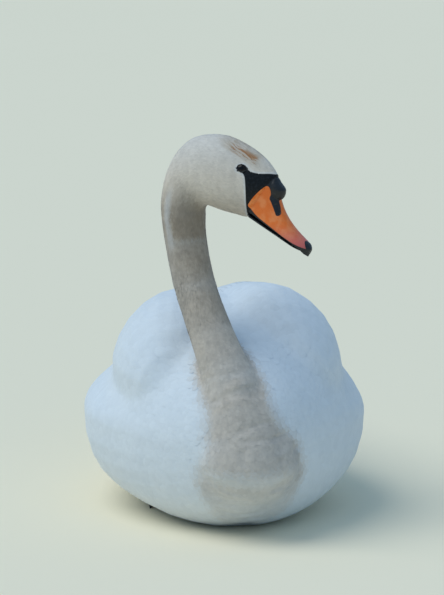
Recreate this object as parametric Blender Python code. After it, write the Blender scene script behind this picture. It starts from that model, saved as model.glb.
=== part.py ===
"""A mute swan, an adult male, resting on its belly with its feet tucked under.

The neck stands in an S that leans to the bird's right, and the head is turned to its left.
Frame: metres, +Z up. The bird faces -Y and its left side is +X. The origin is the centre of
the flat under the belly, on the floor, below the widest place of the body.
"""

import math

import bmesh
import bpy
import numpy as np
from mathutils import Matrix, Vector

# Trunk, measured over the feathers.
BREAST_REACH = 0.245      # from the widest place forward to the breast
RUMP_REACH = 0.375        # from the widest place back to the end of the rump
HALF_WIDTH = 0.1685
BACK_HEIGHT = 0.249
BACK_PEAK = 0.030         # how far behind the widest place the back is highest
BREAST_NOSE = 0.110       # height of the foremost point of the breast
RUMP_NOSE = 0.128         # height of the hindmost point of the rump
RIGHT_SLACK = 0.20        # how much flatter the right shoulder lies than the left
KEEL_FRONT = -0.090       # the belly lies on the floor between these two
KEEL_REAR = 0.120
BELLY_SINK = 0.003        # how far the belly is pressed flat

# Wings, folded.
WING_FRONT = -0.135
WING_FULL = -0.010        # where the folded wing is thickest
WING_TIP = 0.462
WING_HALF_HEIGHT = 0.084
WING_SINK = 0.012         # how much lower its tip is than its thickest place
WING_SLIMNESS = 0.80      # half width as a share of half height
WING_TILT = math.radians(24)
WING_SPREAD = {1: 0.065, -1: 0.069}   # from the middle of the back to the middle of each wing
WING_LEVEL = {1: 0.189, -1: 0.182}    # the right wing is carried a little lower and wider

# Head, placed by the point midway between the eyes.
HEAD_PLACE = Vector((0.0114, -0.1621, 0.4317))
HEAD_TURN = math.radians(54)
EYE_SIDE = 0.0152
EYE_RADIUS = 0.0078

# Tail.
TAIL_ROOT = Vector((0.0, 0.300, 0.112))
TAIL_LENGTH = 0.235
TAIL_RISE = math.radians(12)
TAIL_SPREAD = math.radians(19)
TAIL_FEATHERS = 9

# Legs and feet.
TOE_JOINT = Vector((0.064, 0.108, 0.0))
ANKLE = Vector((0.058, 0.212, 0.0170))
FOOT_SPLAY = math.radians(-3)   # outward
KNUCKLE = 0.0068          # radius of the joint where the toes meet the shank

GAP = 0.00035             # between neighbouring pieces
TRUNK_RINGS, TRUNK_SIDES = 27, 36
NECK_SIDES = 24

# Neck: centre x, y, z and radius, from inside the breast to under the head.
NECK_ROWS = (
    (0.004, -0.145, 0.030, 0.0300),
    (0.006, -0.172, 0.058, 0.0520),
    (0.006, -0.192, 0.089, 0.0610),
    (0.003, -0.196, 0.112, 0.0580),
    (-0.003, -0.194, 0.138, 0.0460),
    (-0.009, -0.187, 0.166, 0.0355),
    (-0.018, -0.176, 0.193, 0.0290),
    (-0.034, -0.151, 0.239, 0.0252),
    (-0.050, -0.125, 0.291, 0.0242),
    (-0.059, -0.111, 0.345, 0.0245),
)
# Head: ahead and up from between the eyes, backward tilt of the crown in degrees, half depth,
# half width, and how much narrower the crown is than the cheeks.
HEAD_ROWS = (
    (-0.0895, -0.0530, 90, 0.0265, 0.0255, 0.00),
    (-0.0845, -0.0325, 58, 0.0302, 0.0258, 0.03),
    (-0.0735, -0.0175, 34, 0.0372, 0.0266, 0.06),
    (-0.0560, -0.0102, 20, 0.0438, 0.0280, 0.10),
    (-0.0305, -0.0100, 5, 0.0450, 0.0284, 0.14),
    (-0.0080, -0.0157, -2, 0.0420, 0.0262, 0.18),
    (0.0090, -0.0235, -16, 0.0368, 0.0216, 0.24),
    (0.0195, -0.0320, -33, 0.0304, 0.0172, 0.30),
)
# Upper bill: ahead and up of its ridge, the same of its edge, and half width.
BILL_ROWS = (
    (0.0365, -0.0070, 0.0050, -0.0530, 0.0168),
    (0.0395, -0.0290, 0.0135, -0.0575, 0.0158),
    (0.0435, -0.0440, 0.0260, -0.0650, 0.0148),
    (0.0510, -0.0580, 0.0400, -0.0728, 0.0138),
    (0.0612, -0.0703, 0.0540, -0.0806, 0.0136),
    (0.0708, -0.0792, 0.0640, -0.0864, 0.0134),
    (0.0785, -0.0857, 0.0705, -0.0914, 0.0112),
    (0.0810, -0.0912, 0.0738, -0.0965, 0.0066),
)
BILL_TIP = (0.0772, -0.1002)
# Lower bill: the same, of its upper and lower edges.
JAW_ROWS = (
    (0.0070, -0.0540, 0.0045, -0.0578, 0.0146),
    (0.0255, -0.0655, 0.0236, -0.0682, 0.0134),
    (0.0400, -0.0736, 0.0382, -0.0762, 0.0124),
    (0.0540, -0.0815, 0.0523, -0.0840, 0.0120),
    (0.0640, -0.0872, 0.0625, -0.0893, 0.0114),
    (0.0700, -0.0914, 0.0690, -0.0930, 0.0070),
)
KNOB_CENTRE = (0.0360, -0.0232)
KNOB_LEAN = math.radians(20)
KNOB_RADII = (0.0100, 0.0105, 0.0143)   # across, out and along the forehead

ORANGE = (0.78, 0.27, 0.07)
BLACK = (0.012, 0.013, 0.015)
WHITE = (0.80, 0.83, 0.86)
NECK_GREY = (0.66, 0.65, 0.61)


def start():
    """An empty scene with one collection for the bird and one for the cutters."""
    for obj in list(bpy.data.objects):
        bpy.data.objects.remove(obj)
    made = []
    for name in ("mute_swan", "cutters"):
        collection = bpy.data.collections.new(name)
        bpy.context.scene.collection.children.link(collection)
        made.append(collection)
    made[1].hide_render = True
    return made


def finish_of(name, colour, roughness):
    """A plain Principled finish."""
    material = bpy.data.materials.new(name)
    material.use_nodes = True
    shader = material.node_tree.nodes["Principled BSDF"]
    shader.inputs["Base Color"].default_value = (*colour, 1)
    shader.inputs["Roughness"].default_value = roughness
    shader.inputs["Metallic"].default_value = 0
    return material


def swell(share, power, root):
    """A rounded falling off: 1 at share 0 and 0 at share 1."""
    return max(0.0, 1 - min(share, 1.0) ** power) ** root


def through(rows, count):
    """Count rows on a smooth curve through the given rows, evenly spaced from row to row."""
    rows = np.array(rows, float)
    padded = np.vstack([2 * rows[0] - rows[1], rows, 2 * rows[-1] - rows[-2]])
    smooth = []
    for place in np.linspace(0, len(rows) - 1, count):
        i = min(int(place), len(rows) - 2)
        t = place - i
        a, b, c, d = padded[i:i + 4]
        smooth.append(
            b + 0.5 * t * (c - a + t * (2 * a - 5 * b + 4 * c - d + t * (3 * (b - c) + d - a)))
        )
    return np.array(smooth)


def mesh_object(name, bm, collection, material=None):
    """The bmesh as a smooth-shaded object in the collection."""
    bmesh.ops.recalc_face_normals(bm, faces=bm.faces)
    mesh = bpy.data.meshes.new(name)
    bm.to_mesh(mesh)
    bm.free()
    mesh.shade_smooth()
    mesh.set_sharp_from_angle(angle=math.radians(50))
    obj = bpy.data.objects.new(name, mesh)
    collection.objects.link(obj)
    if material:
        mesh.materials.append(material)
    return obj


def loft(rings, start_tip=None, end_tip=None):
    """A closed skin over rings of equal count. An end is the given tip, or else a flat cap."""
    bm = bmesh.new()
    loops = [[bm.verts.new(point) for point in ring] for ring in rings]
    for first, second in zip(loops, loops[1:]):
        for i, corner in enumerate(first):
            j = (i + 1) % len(first)
            bm.faces.new((corner, first[j], second[j], second[i]))
    for loop, tip in ((loops[0], start_tip), (loops[-1], end_tip)):
        if tip is None:
            bm.faces.new(loop)
            continue
        peak = bm.verts.new(tip)
        for i, corner in enumerate(loop):
            bm.faces.new((corner, loop[(i + 1) % len(loop)], peak))
    return bm


def power_of(value, exponent):
    """The value's size to a power, with its own sign."""
    return math.copysign(abs(value) ** exponent, value)


def combine(obj, other, operation):
    """Applies a Boolean with the other object, which is then removed."""
    modifier = obj.modifiers.new(operation.lower(), "BOOLEAN")
    modifier.operation = operation
    modifier.object = other
    modifier.solver = "EXACT"
    bpy.context.view_layer.update()
    graph = bpy.context.evaluated_depsgraph_get()
    mesh = bpy.data.meshes.new_from_object(obj.evaluated_get(graph))
    obj.modifiers.clear()
    bm = bmesh.new()
    bm.from_mesh(mesh)
    bmesh.ops.dissolve_degenerate(bm, dist=0.000002, edges=bm.edges)
    if not bm.faces:
        raise RuntimeError(f"nothing is left of {obj.name}")
    bm.to_mesh(mesh)
    bm.free()
    obj.data = mesh
    bpy.data.objects.remove(other)
    return obj


def copy_of(obj, collection):
    """A second object of the same shape, at the same place."""
    copy = bpy.data.objects.new(obj.name + "_again", obj.data.copy())
    copy.matrix_world = obj.matrix_world
    collection.objects.link(copy)
    return copy


def inflated(obj, collection, by=GAP * 1.35):
    """A copy of the object whose surface stands out a little, to cut its neighbours with."""
    copy = copy_of(obj, collection)
    bm = bmesh.new()
    bm.from_mesh(copy.data)
    bm.normal_update()
    moves = [(vertex, vertex.normal.copy()) for vertex in bm.verts]
    for vertex, normal in moves:
        vertex.co += normal * by
    bm.to_mesh(copy.data)
    bm.free()
    return copy


# ---------------------------------------------------------------- trunk

def trunk_ring(y):
    """The section of the trunk at y: elliptical below and peaked above its widest level."""
    if y < 0:
        width = HALF_WIDTH * swell(-y / BREAST_REACH, 1.5, 1 / 1.5)
    else:
        width = HALF_WIDTH * swell(y / RUMP_REACH, 2.2, 0.9)
    if y < KEEL_FRONT:
        fall = swell((KEEL_FRONT - y) / (BREAST_REACH + KEEL_FRONT), 2, 0.5)
        bottom = BREAST_NOSE - (BREAST_NOSE + BELLY_SINK) * fall
    elif y > KEEL_REAR:
        fall = swell((y - KEEL_REAR) / (RUMP_REACH - KEEL_REAR), 2, 0.5)
        bottom = RUMP_NOSE - (RUMP_NOSE + BELLY_SINK) * fall
    else:
        bottom = -BELLY_SINK
    if y < BACK_PEAK:
        rise = swell((BACK_PEAK - y) / (BREAST_REACH + BACK_PEAK), 2, 0.5)
        top = BREAST_NOSE + (BACK_HEIGHT - BREAST_NOSE) * rise
    else:
        rise = swell((y - BACK_PEAK) / (RUMP_REACH - BACK_PEAK), 1.7, 0.8)
        top = RUMP_NOSE + (BACK_HEIGHT - RUMP_NOSE) * rise
    along = (y + BREAST_REACH) / (BREAST_REACH + RUMP_REACH)
    level = BREAST_NOSE + (RUMP_NOSE - BREAST_NOSE) * along
    peaked = 2 - 0.48 * min(1.0, max(0.0, (y + 0.20) / 0.18))
    boxy = 2 + 0.5 * min(swell(abs(y) / 0.25, 2, 1), 1.0)
    points = []
    for i in range(TRUNK_SIDES):
        angle = 2 * math.pi * i / TRUNK_SIDES
        across, up = math.cos(angle), math.sin(angle)
        shoulder = peaked - RIGHT_SLACK * min(1.0, max(0.0, -3 * across))
        exponent = 2 / (shoulder if up > 0 else boxy)
        height = top - level if up > 0 else level - bottom
        x = width * power_of(across, exponent)
        z = level + height * power_of(up, exponent)
        points.append((x, y, max(z, 0.0)))
    return points


def make_trunk(collection, finish):
    """The trunk as one hull from the breast to the rump, flat where it lies on the floor."""
    middle = (RUMP_REACH - BREAST_REACH) / 2
    reach = (RUMP_REACH + BREAST_REACH) / 2
    steps = [math.pi * (i + 0.6) / (TRUNK_RINGS + 0.2) for i in range(TRUNK_RINGS)]
    rings = [trunk_ring(middle - reach * math.cos(step)) for step in steps]
    bm = loft(rings, (0, -BREAST_REACH, BREAST_NOSE), (0, RUMP_REACH, RUMP_NOSE))
    return mesh_object("trunk", bm, collection, finish)


# ---------------------------------------------------------------- neck and head

def head_axes():
    """Unit vectors ahead of the turned head and out of its right side."""
    ahead = Vector((math.sin(HEAD_TURN), -math.cos(HEAD_TURN), 0))
    return ahead, ahead.cross(Vector((0, 0, 1)))


def head_point(ahead, up, side=0.0):
    """A place on the head, from the point midway between the eyes."""
    forward, right = head_axes()
    return HEAD_PLACE + forward * ahead + Vector((0, 0, up)) + right * side


def oval(centre, dorsal, lateral, depth, width, narrow=0.0, sides=NECK_SIDES):
    """An oval ring. Narrow makes its dorsal half slimmer and its other half fuller."""
    points = []
    for i in range(sides):
        angle = 2 * math.pi * i / sides
        up, out = math.cos(angle), math.sin(angle)
        points.append(centre + dorsal * (depth * up) + lateral * (width * out * (1 - narrow * up)))
    return points


def neck_rings():
    """Rings square to the neck's line, but level in the breast. Their backs turn with the head."""
    rows = through(NECK_ROWS + ((*head_point(*HEAD_ROWS[0][:2]), HEAD_ROWS[0][3]),), 27)
    forward, _ = head_axes()
    rings = []
    for i, row in enumerate(rows[:-1]):
        line = Vector(rows[i + 1][:3] - rows[max(i - 1, 0)][:3]).normalized()
        risen = min(1.0, max(0.0, (row[2] - 0.10) / 0.08))
        line = Vector((0, -0.2, 0.98)).lerp(line, risen).normalized()
        turned = min(1.0, max(0.0, (row[2] - 0.12) / 0.22))
        back = Vector((0, 1, 0)).lerp(-forward, turned)
        dorsal = (back - line * back.dot(line)).normalized()
        rings.append(oval(Vector(row[:3]), dorsal, line.cross(dorsal), row[3], row[3]))
    return rings


def head_rings():
    """Rings that fan round the throat from the top of the neck to the base of the bill."""
    forward, right = head_axes()
    rings = []
    for ahead, up, tilt, depth, width, narrow in through(HEAD_ROWS, 18):
        lean = math.radians(tilt)
        dorsal = Vector((0, 0, 1)) * math.cos(lean) - forward * math.sin(lean)
        rings.append(oval(head_point(ahead, up), dorsal, right, depth, width, narrow))
    return rings


def make_neck_and_head(collection, finish):
    """The neck and head as one tube, open to nothing: its lower end is inside the breast."""
    return mesh_object("neck_and_head", loft(neck_rings() + head_rings()), collection, finish)


def thin_disc(name, centre, normal, radius, collection):
    """A disc as thin as the gap, to part one piece from the next."""
    bm = bmesh.new()
    turn = Vector(normal).to_track_quat("Z", "Y").to_matrix().to_4x4()
    bmesh.ops.create_cone(bm, cap_ends=True, segments=32, radius1=radius, radius2=radius,
                          depth=GAP, matrix=Matrix.Translation(centre) @ turn)
    return mesh_object(name, bm, collection)


def part_with_cuts(whole, collection, cutters):
    """Parts the trunk, neck and head with four thin discs, and names the pieces from the floor up."""
    forward, _ = head_axes()
    nape_lean = math.radians(52)
    nape_normal = forward * math.sin(nape_lean) + Vector((0, 0, 1)) * math.cos(nape_lean)
    cuts = (
        ((-0.030, -0.157, 0.2268), (-0.06, -0.14, 0.985), 0.040),
        ((-0.042, -0.138, 0.264), (-0.30, 0.46, 0.84), 0.036),
        ((-0.0555, -0.1165, 0.318), (-0.22, 0.32, 0.92), 0.036),
        (head_point(-0.0850, -0.0345), nape_normal, 0.045),
    )
    for i, (centre, normal, radius) in enumerate(cuts):
        combine(whole, thin_disc(f"cut_{i}", centre, normal, radius, cutters), "DIFFERENCE")
    bm = bmesh.new()
    bm.from_mesh(whole.data)
    pieces = loose_pieces(bm)
    pieces.sort(key=lambda faces: sum(f.calc_center_median().z for f in faces) / len(faces))
    names = ("trunk", "neck_lower", "neck_middle", "neck_upper", "head")
    if len(pieces) != len(names):
        raise RuntimeError(f"the cuts left {len(pieces)} pieces")
    whole.name = whole.data.name = "uncut"
    made = {}
    for name, faces in zip(names, pieces):
        part = bm.copy()
        part.faces.ensure_lookup_table()
        keep = {face.index for face in faces}
        gone = [face for face in part.faces if face.index not in keep]
        bmesh.ops.delete(part, geom=gone, context="FACES")
        made[name] = mesh_object(name, part, collection, whole.data.materials[0])
    bm.free()
    bpy.data.objects.remove(whole)
    return made


def loose_pieces(bm):
    """The faces of each body that is joined to no other."""
    bm.faces.ensure_lookup_table()
    bm.faces.index_update()
    seen, pieces = set(), []
    for seed in bm.faces:
        if seed.index in seen:
            continue
        seen.add(seed.index)
        stack, piece = [seed], []
        while stack:
            face = stack.pop()
            piece.append(face)
            for edge in face.edges:
                for other in edge.link_faces:
                    if other.index not in seen:
                        seen.add(other.index)
                        stack.append(other)
        pieces.append(piece)
    return pieces


# ---------------------------------------------------------------- bill and eyes

def roof_ring(top, bottom, width, sides, fullness):
    """A section of the bill: an arch over a nearly flat floor."""
    top, bottom = head_point(*top), head_point(*bottom)
    _, right = head_axes()
    rise = top - bottom
    points = []
    for i in range(sides):
        angle = 2 * math.pi * i / sides
        out, up = math.cos(angle), math.sin(angle)
        height = up ** fullness if up > 0 else 0.10 * up
        points.append(bottom + rise * (0.09 + 0.91 * height) + right * (width * out))
    return points


def make_bill(collection, upper_finish, lower_finish):
    """The upper bill with its nail and basal knob, and the lower bill shut against it."""
    sides = 22
    rings = []
    for i, row in enumerate(through(BILL_ROWS, 15)):
        fullness = 1.0 - 0.25 * i / 14
        rings.append(roof_ring(row[0:2], row[2:4], row[4], sides, fullness))
    upper = mesh_object("bill_upper", loft(rings, None, head_point(*BILL_TIP)), collection, upper_finish)
    bm = bmesh.new()
    forward, right = head_axes()
    along = Vector((0, 0, -1)) * math.cos(KNOB_LEAN) + forward * math.sin(KNOB_LEAN)
    out = right.cross(along)
    axes = Matrix((right, out, along)).transposed().to_4x4()
    place = Matrix.Translation(head_point(*KNOB_CENTRE)) @ axes @ Matrix.Diagonal((*KNOB_RADII, 1))
    bmesh.ops.create_uvsphere(bm, u_segments=18, v_segments=11, radius=1, matrix=place)
    combine(upper, mesh_object("knob", bm, collection), "UNION")

    rings = []
    for row in through(JAW_ROWS, 10):
        rings.append(jaw_ring(row[0:2], row[2:4], row[4], 16))
    lower = mesh_object("bill_lower", loft(rings), collection, lower_finish)
    return upper, lower


def jaw_ring(top, bottom, width, sides):
    """A section of the lower bill: flat above and rounded below."""
    top, bottom = head_point(*top), head_point(*bottom)
    _, right = head_axes()
    middle = (top + bottom) / 2
    half = (top - bottom) / 2
    points = []
    for i in range(sides):
        angle = 2 * math.pi * i / sides
        out, up = math.cos(angle), math.sin(angle)
        points.append(middle + half * power_of(up, 0.7) + right * (width * power_of(out, 0.8)))
    return points


def make_eyes(collection, finish):
    """The two eyeballs, most of each inside the head."""
    made = []
    for name, side in (("eye_right", EYE_SIDE), ("eye_left", -EYE_SIDE)):
        bm = bmesh.new()
        place = Matrix.Translation(head_point(0, 0, side))
        bmesh.ops.create_uvsphere(bm, u_segments=14, v_segments=9, radius=EYE_RADIUS, matrix=place)
        made.append(mesh_object(name, bm, collection, finish))
    return made


# ---------------------------------------------------------------- wings and tail

def wing_ring(y, side, sides):
    """The section of a wing at y, as on the left: an oval that leans over the back."""
    if y < WING_FULL:
        share = (WING_FULL - y) / (WING_FULL - WING_FRONT)
        half = WING_HALF_HEIGHT * swell(share, 2, 0.5)
        centre_x = WING_SPREAD[side] + 0.016 * share ** 1.5
        centre_z = WING_LEVEL[side] - 0.014 * share ** 2
    else:
        share = (y - WING_FULL) / (WING_TIP - WING_FULL)
        half = WING_HALF_HEIGHT * swell(share, 1.5, 1.0)
        centre_x = WING_SPREAD[side] * (1 - 0.8 * share)
        centre_z = WING_LEVEL[side] - WING_SINK * share ** 0.6
    points = []
    for i in range(sides):
        angle = 2 * math.pi * i / sides
        out = half * WING_SLIMNESS * math.cos(angle)
        up = half * math.sin(angle)
        x = centre_x + out * math.cos(WING_TILT) - up * math.sin(WING_TILT)
        z = centre_z + up * math.cos(WING_TILT) + out * math.sin(WING_TILT)
        points.append((max(x, 0.002), y, z))
    return points


def make_wing(name, side, collection, finish):
    """A folded wing: side 1 is the bird's left, and -1 its right."""
    count, sides = 17, 22
    middle = (WING_TIP + WING_FRONT) / 2
    reach = (WING_TIP - WING_FRONT) / 2
    steps = [math.pi * (i + 0.7) / (count + 0.4) for i in range(count)]
    rings = [wing_ring(middle - reach * math.cos(step), side, sides) for step in steps]
    front = (WING_SPREAD[side] + 0.016, WING_FRONT, WING_LEVEL[side] - 0.014)
    bm = loft(rings, front, (WING_SPREAD[side] * 0.2, WING_TIP, WING_LEVEL[side] - WING_SINK))
    if side < 0:
        bmesh.ops.scale(bm, vec=(-1, 1, 1), verts=bm.verts)
    return mesh_object(name, bm, collection, finish)


def make_tail(collection, finish):
    """A fan of long pointed feathers, cambered and thin at its edge."""
    across = 6 * TAIL_FEATHERS
    columns = []
    for i in range(across + 1):
        share = 2 * i / across - 1
        angle = share * TAIL_SPREAD
        within = (share + 1) / 2 * TAIL_FEATHERS % 1.0
        point = 1 - 0.045 * abs(2 * within - 1) ** 1.5
        length = TAIL_LENGTH * (1 - 0.42 * share ** 2) * point
        columns.append((share, angle, length))
    bm = bmesh.new()
    sheets = []
    for side in (1, -1):
        sheet = []
        for share, angle, length in columns:
            line = []
            for reach in (0.05, 0.45, 0.80, 1.0):
                distance = length * reach
                thick = 0.0072 * (1 - reach) * (1 - 0.6 * share ** 2) + 0.0007
                x = math.sin(angle) * distance + share * 0.022 * (1 - 0.4 * reach)
                forward = math.cos(angle) * distance
                droop = -0.012 * share ** 2
                z = math.sin(TAIL_RISE) * forward + droop + side * thick
                line.append(bm.verts.new(TAIL_ROOT + Vector((x, forward * math.cos(TAIL_RISE), z))))
            sheet.append(line)
        sheets.append(sheet)
    for sheet in sheets:
        for first, second in zip(sheet, sheet[1:]):
            for j in range(len(first) - 1):
                bm.faces.new((first[j], first[j + 1], second[j + 1], second[j]))
    upper, lower = sheets
    rim = [line[-1] for line in upper], [line[-1] for line in lower]
    root = [line[0] for line in upper], [line[0] for line in lower]
    for above, below in (rim, root, (upper[0], lower[0]), (upper[-1], lower[-1])):
        for j in range(len(above) - 1):
            bm.faces.new((above[j], above[j + 1], below[j + 1], below[j]))
    return mesh_object("tail", bm, collection, finish)


# ---------------------------------------------------------------- legs and feet

def tube(stations, sides):
    """Rings along stations of point and radius, kept above the floor."""
    rings = []
    for i, (point, radius) in enumerate(stations):
        before, after = stations[max(i - 1, 0)][0], stations[min(i + 1, len(stations) - 1)][0]
        line = (after - before).normalized()
        side = line.cross(Vector((0, 0, 1))).normalized()
        up = side.cross(line)
        ring = oval(point, up, side, radius, radius, 0.0, sides)
        for corner in ring:
            corner.z = max(corner.z, 0.0)
        rings.append(ring)
    return rings


def toe(name, angle, length, collection):
    """One toe with its claw, along the floor from the toe joint."""
    heading = Vector((math.sin(angle), -math.cos(angle), 0))
    joints = ((0.0, 0.0058, 0.0056), (0.28, 0.0050, 0.0050), (0.34, 0.0052, 0.0054),
              (0.60, 0.0044, 0.0045), (0.66, 0.0046, 0.0048), (0.87, 0.0038, 0.0039),
              (0.90, 0.0032, 0.0034), (0.96, 0.0024, 0.0020))
    stations = []
    for share, height, radius in joints:
        stations.append((heading * (length * share) + Vector((0, 0, height)), radius))
    rings = tube(stations, 8)
    return mesh_object(name, loft(rings, None, heading * length + Vector((0, 0, 0.0008))), collection)


def web(name, angles, lengths, collection):
    """The web between neighbouring toes: a thin plate with a hollow front edge."""
    bm = bmesh.new()
    outline = [Vector((0, 0.004, 0))]
    for k in range(len(angles) - 1):
        for i in range(7 if k == len(angles) - 2 else 6):
            share = i / 6
            angle = angles[k] + (angles[k + 1] - angles[k]) * share
            length = 0.86 * (lengths[k] + (lengths[k + 1] - lengths[k]) * share)
            length *= 1 - 0.20 * math.sin(math.pi * share)
            outline.append(Vector((math.sin(angle), -math.cos(angle), 0)) * length)
    bottom = bm.faces.new([bm.verts.new(point) for point in outline])
    raised = bmesh.ops.extrude_face_region(bm, geom=[bottom])
    top = [item for item in raised["geom"] if isinstance(item, bmesh.types.BMVert)]
    bmesh.ops.translate(bm, vec=(0, 0, 0.0022), verts=top)
    return mesh_object(name, bm, collection)


def foot_pocket(angles, lengths, collection):
    """The hollow that the foot presses into the belly: a plain slab a little larger than the foot."""
    outline = [Vector((0.012, 0.011, 0)), Vector((-0.012, 0.011, 0))]
    for angle, length in zip(angles, lengths):
        heading = Vector((math.sin(angle), -math.cos(angle), 0))
        across = Vector((-heading.y, heading.x, 0)) * 0.0075
        outline += [heading * (length + 0.004) - across, heading * (length + 0.004) + across]
    bm = bmesh.new()
    bottom = bm.faces.new([bm.verts.new(point + Vector((0, 0, -0.006))) for point in outline])
    raised = bmesh.ops.extrude_face_region(bm, geom=[bottom])
    top = [item for item in raised["geom"] if isinstance(item, bmesh.types.BMVert)]
    bmesh.ops.translate(bm, vec=(0, 0, 0.006 + 2 * KNUCKLE + 2 * GAP), verts=top)
    return mesh_object("foot_pocket", bm, collection)


def shank(name, clear, collection, finish=None):
    """The bare shank from behind the toe joint to the ankle. Clear makes it thicker and longer."""
    to_ankle = ANKLE - TOE_JOINT
    line = to_ankle.normalized()
    shape = ((0.0, 0.0060), (0.10, 0.0057), (0.35, 0.0056), (0.6, 0.0060), (0.8, 0.0078),
             (0.92, 0.0100), (1.0, 0.0098))
    start_off = KNUCKLE + GAP - clear
    stations = []
    for share, radius in shape:
        lift = Vector((0, 0, 0.0060 * (1 - share)))
        place = TOE_JOINT + line * start_off + (to_ankle - line * start_off) * share + lift
        stations.append((place, radius + clear))
    rings = tube(stations, 12)
    return mesh_object(name, loft(rings, None, ANKLE + line * (0.009 + clear)), collection, finish)


def make_foot(side_name, side, collection, cutters, finish):
    """A leg's bare shank, folded on the floor, and the webbed foot before it, each with its pocket."""
    angles = (math.radians(-18), 0.0, math.radians(16))
    lengths = (0.104, 0.136, 0.128)
    foot = web("foot_" + side_name, angles, lengths, collection)
    for i, (angle, length) in enumerate(zip(angles, lengths)):
        combine(foot, toe(f"toe_{i}", angle, length, collection), "UNION")
    bm = bmesh.new()
    bmesh.ops.create_uvsphere(bm, u_segments=14, v_segments=8, radius=KNUCKLE,
                              matrix=Matrix.Translation((0, 0, KNUCKLE - 0.0004)))
    for corner in bm.verts:
        corner.co.z = max(corner.co.z, 0.0)
    combine(foot, mesh_object("knuckle", bm, collection), "UNION")
    foot.data.materials.clear()
    foot.data.materials.append(finish)
    pocket = foot_pocket(angles, lengths, cutters)
    turn = Matrix.Translation(TOE_JOINT) @ Matrix.Rotation(FOOT_SPLAY, 4, "Z")
    for obj in (foot, pocket):
        obj.data.transform(turn)
    leg = shank("leg_" + side_name, 0.0, collection, finish)
    hollow = shank("leg_hollow", 0.0007, cutters)
    if side < 0:
        for obj in (foot, pocket, leg, hollow):
            obj.data.transform(Matrix.Diagonal((-1, 1, 1, 1)))
            obj.data.flip_normals()
    return pocket, hollow


def main():
    bird, cutters = start()
    plumage = finish_of("white_plumage", WHITE, 0.85)
    down = finish_of("neck_plumage", NECK_GREY, 0.85)
    orange = finish_of("orange_bill", ORANGE, 0.40)
    black = finish_of("black_horn", BLACK, 0.35)
    eye = finish_of("eye", (0.02, 0.012, 0.008), 0.05)

    trunk = make_trunk(bird, plumage)
    hull = inflated(trunk, cutters)
    pockets, hollows = [], []
    for side_name, side in (("left", 1), ("right", -1)):
        pocket, hollow = make_foot(side_name, side, bird, cutters, black)
        pockets.append(pocket)
        hollows.append(hollow)
        wing = make_wing("wing_" + side_name, side, bird, plumage)
        combine(wing, copy_of(hull, cutters), "DIFFERENCE")
    for cutter in pockets + hollows:
        combine(trunk, cutter, "DIFFERENCE")
    combine(make_tail(bird, plumage), hull, "DIFFERENCE")

    whole = combine(trunk, make_neck_and_head(bird, plumage), "UNION")
    pieces = part_with_cuts(whole, bird, cutters)
    for name in ("neck_lower", "neck_middle", "neck_upper", "head"):
        pieces[name].data.materials.clear()
        pieces[name].data.materials.append(down)

    upper, lower = make_bill(bird, orange, black)
    for piece in (upper, lower, *make_eyes(bird, eye)):
        combine(pieces["head"], inflated(piece, cutters), "DIFFERENCE")
    combine(lower, inflated(upper, cutters), "DIFFERENCE")


main()
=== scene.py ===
"""A mute swan resting on its belly, life size: one skin under a coat of feathers, with bill, eyes and feet.

Metres, +Z up. The bird faces -Y and its left side is +X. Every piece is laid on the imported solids:
the tips of the feathers end at their surface, and the skin lies inside it by the coat's depth.
"""

import math

import bmesh
import bpy
import numpy as np
from mathutils import Matrix, Vector, noise
from mathutils.bvhtree import BVHTree
from mathutils.kdtree import KDTree


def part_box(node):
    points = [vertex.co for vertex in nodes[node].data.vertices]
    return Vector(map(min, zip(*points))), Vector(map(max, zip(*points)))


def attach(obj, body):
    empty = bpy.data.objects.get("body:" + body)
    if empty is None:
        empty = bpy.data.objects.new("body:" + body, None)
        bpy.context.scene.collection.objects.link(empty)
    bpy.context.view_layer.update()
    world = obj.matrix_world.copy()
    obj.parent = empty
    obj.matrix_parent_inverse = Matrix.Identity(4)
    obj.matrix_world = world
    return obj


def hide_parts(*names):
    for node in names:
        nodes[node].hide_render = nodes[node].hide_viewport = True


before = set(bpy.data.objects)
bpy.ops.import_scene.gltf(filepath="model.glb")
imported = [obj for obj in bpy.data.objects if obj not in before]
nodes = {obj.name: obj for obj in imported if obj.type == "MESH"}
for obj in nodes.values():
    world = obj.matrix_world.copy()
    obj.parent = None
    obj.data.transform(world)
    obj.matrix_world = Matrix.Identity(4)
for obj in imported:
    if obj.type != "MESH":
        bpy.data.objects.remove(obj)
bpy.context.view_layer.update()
random = np.random.default_rng(7)      # one fixed seed, so that each run grows the same feathers

FLESH = ("trunk", "neck_lower", "neck_middle", "neck_upper", "head", "wing_left", "wing_right")
SIDES = {"left": 1, "right": -1}
Z = np.array((0.0, 0.0, 1.0))

# Head: everything on it is placed ahead, up and to the right of the point midway between the eyes.
eye_low, eye_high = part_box("eye_right")
EYE_RADIUS = (eye_high.z - eye_low.z) / 2
EYES = {side: np.array(sum(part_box("eye_" + side), Vector())) / 2 for side in SIDES}
HEAD_PLACE = (EYES["left"] + EYES["right"]) / 2
TO_RIGHT = (EYES["right"] - EYES["left"]) / np.linalg.norm(EYES["right"] - EYES["left"])
TO_FRONT = np.cross(Z, TO_RIGHT)

# Middle of the head and neck from the bill to the breast, the first part as ahead and up, and the
# neck's own part with its radius.
HEAD_LINE = ((0.03, -0.04), (0.01, -0.026), (-0.01, -0.016), (-0.034, -0.011), (-0.057, -0.012),
             (-0.074, -0.019), (-0.084, -0.034), (-0.089, -0.053))
NECK_LINE = (
    (-0.059, -0.111, 0.345, 0.0245),
    (-0.05, -0.125, 0.291, 0.0242),
    (-0.034, -0.151, 0.239, 0.0252),
    (-0.018, -0.176, 0.193, 0.029),
    (-0.009, -0.187, 0.166, 0.0355),
    (-0.003, -0.194, 0.138, 0.046),
    (0.003, -0.196, 0.112, 0.058),
    (0.006, -0.192, 0.089, 0.061),
    (0.006, -0.172, 0.058, 0.052),
    (0.004, -0.145, 0.03, 0.03),
)

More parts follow.
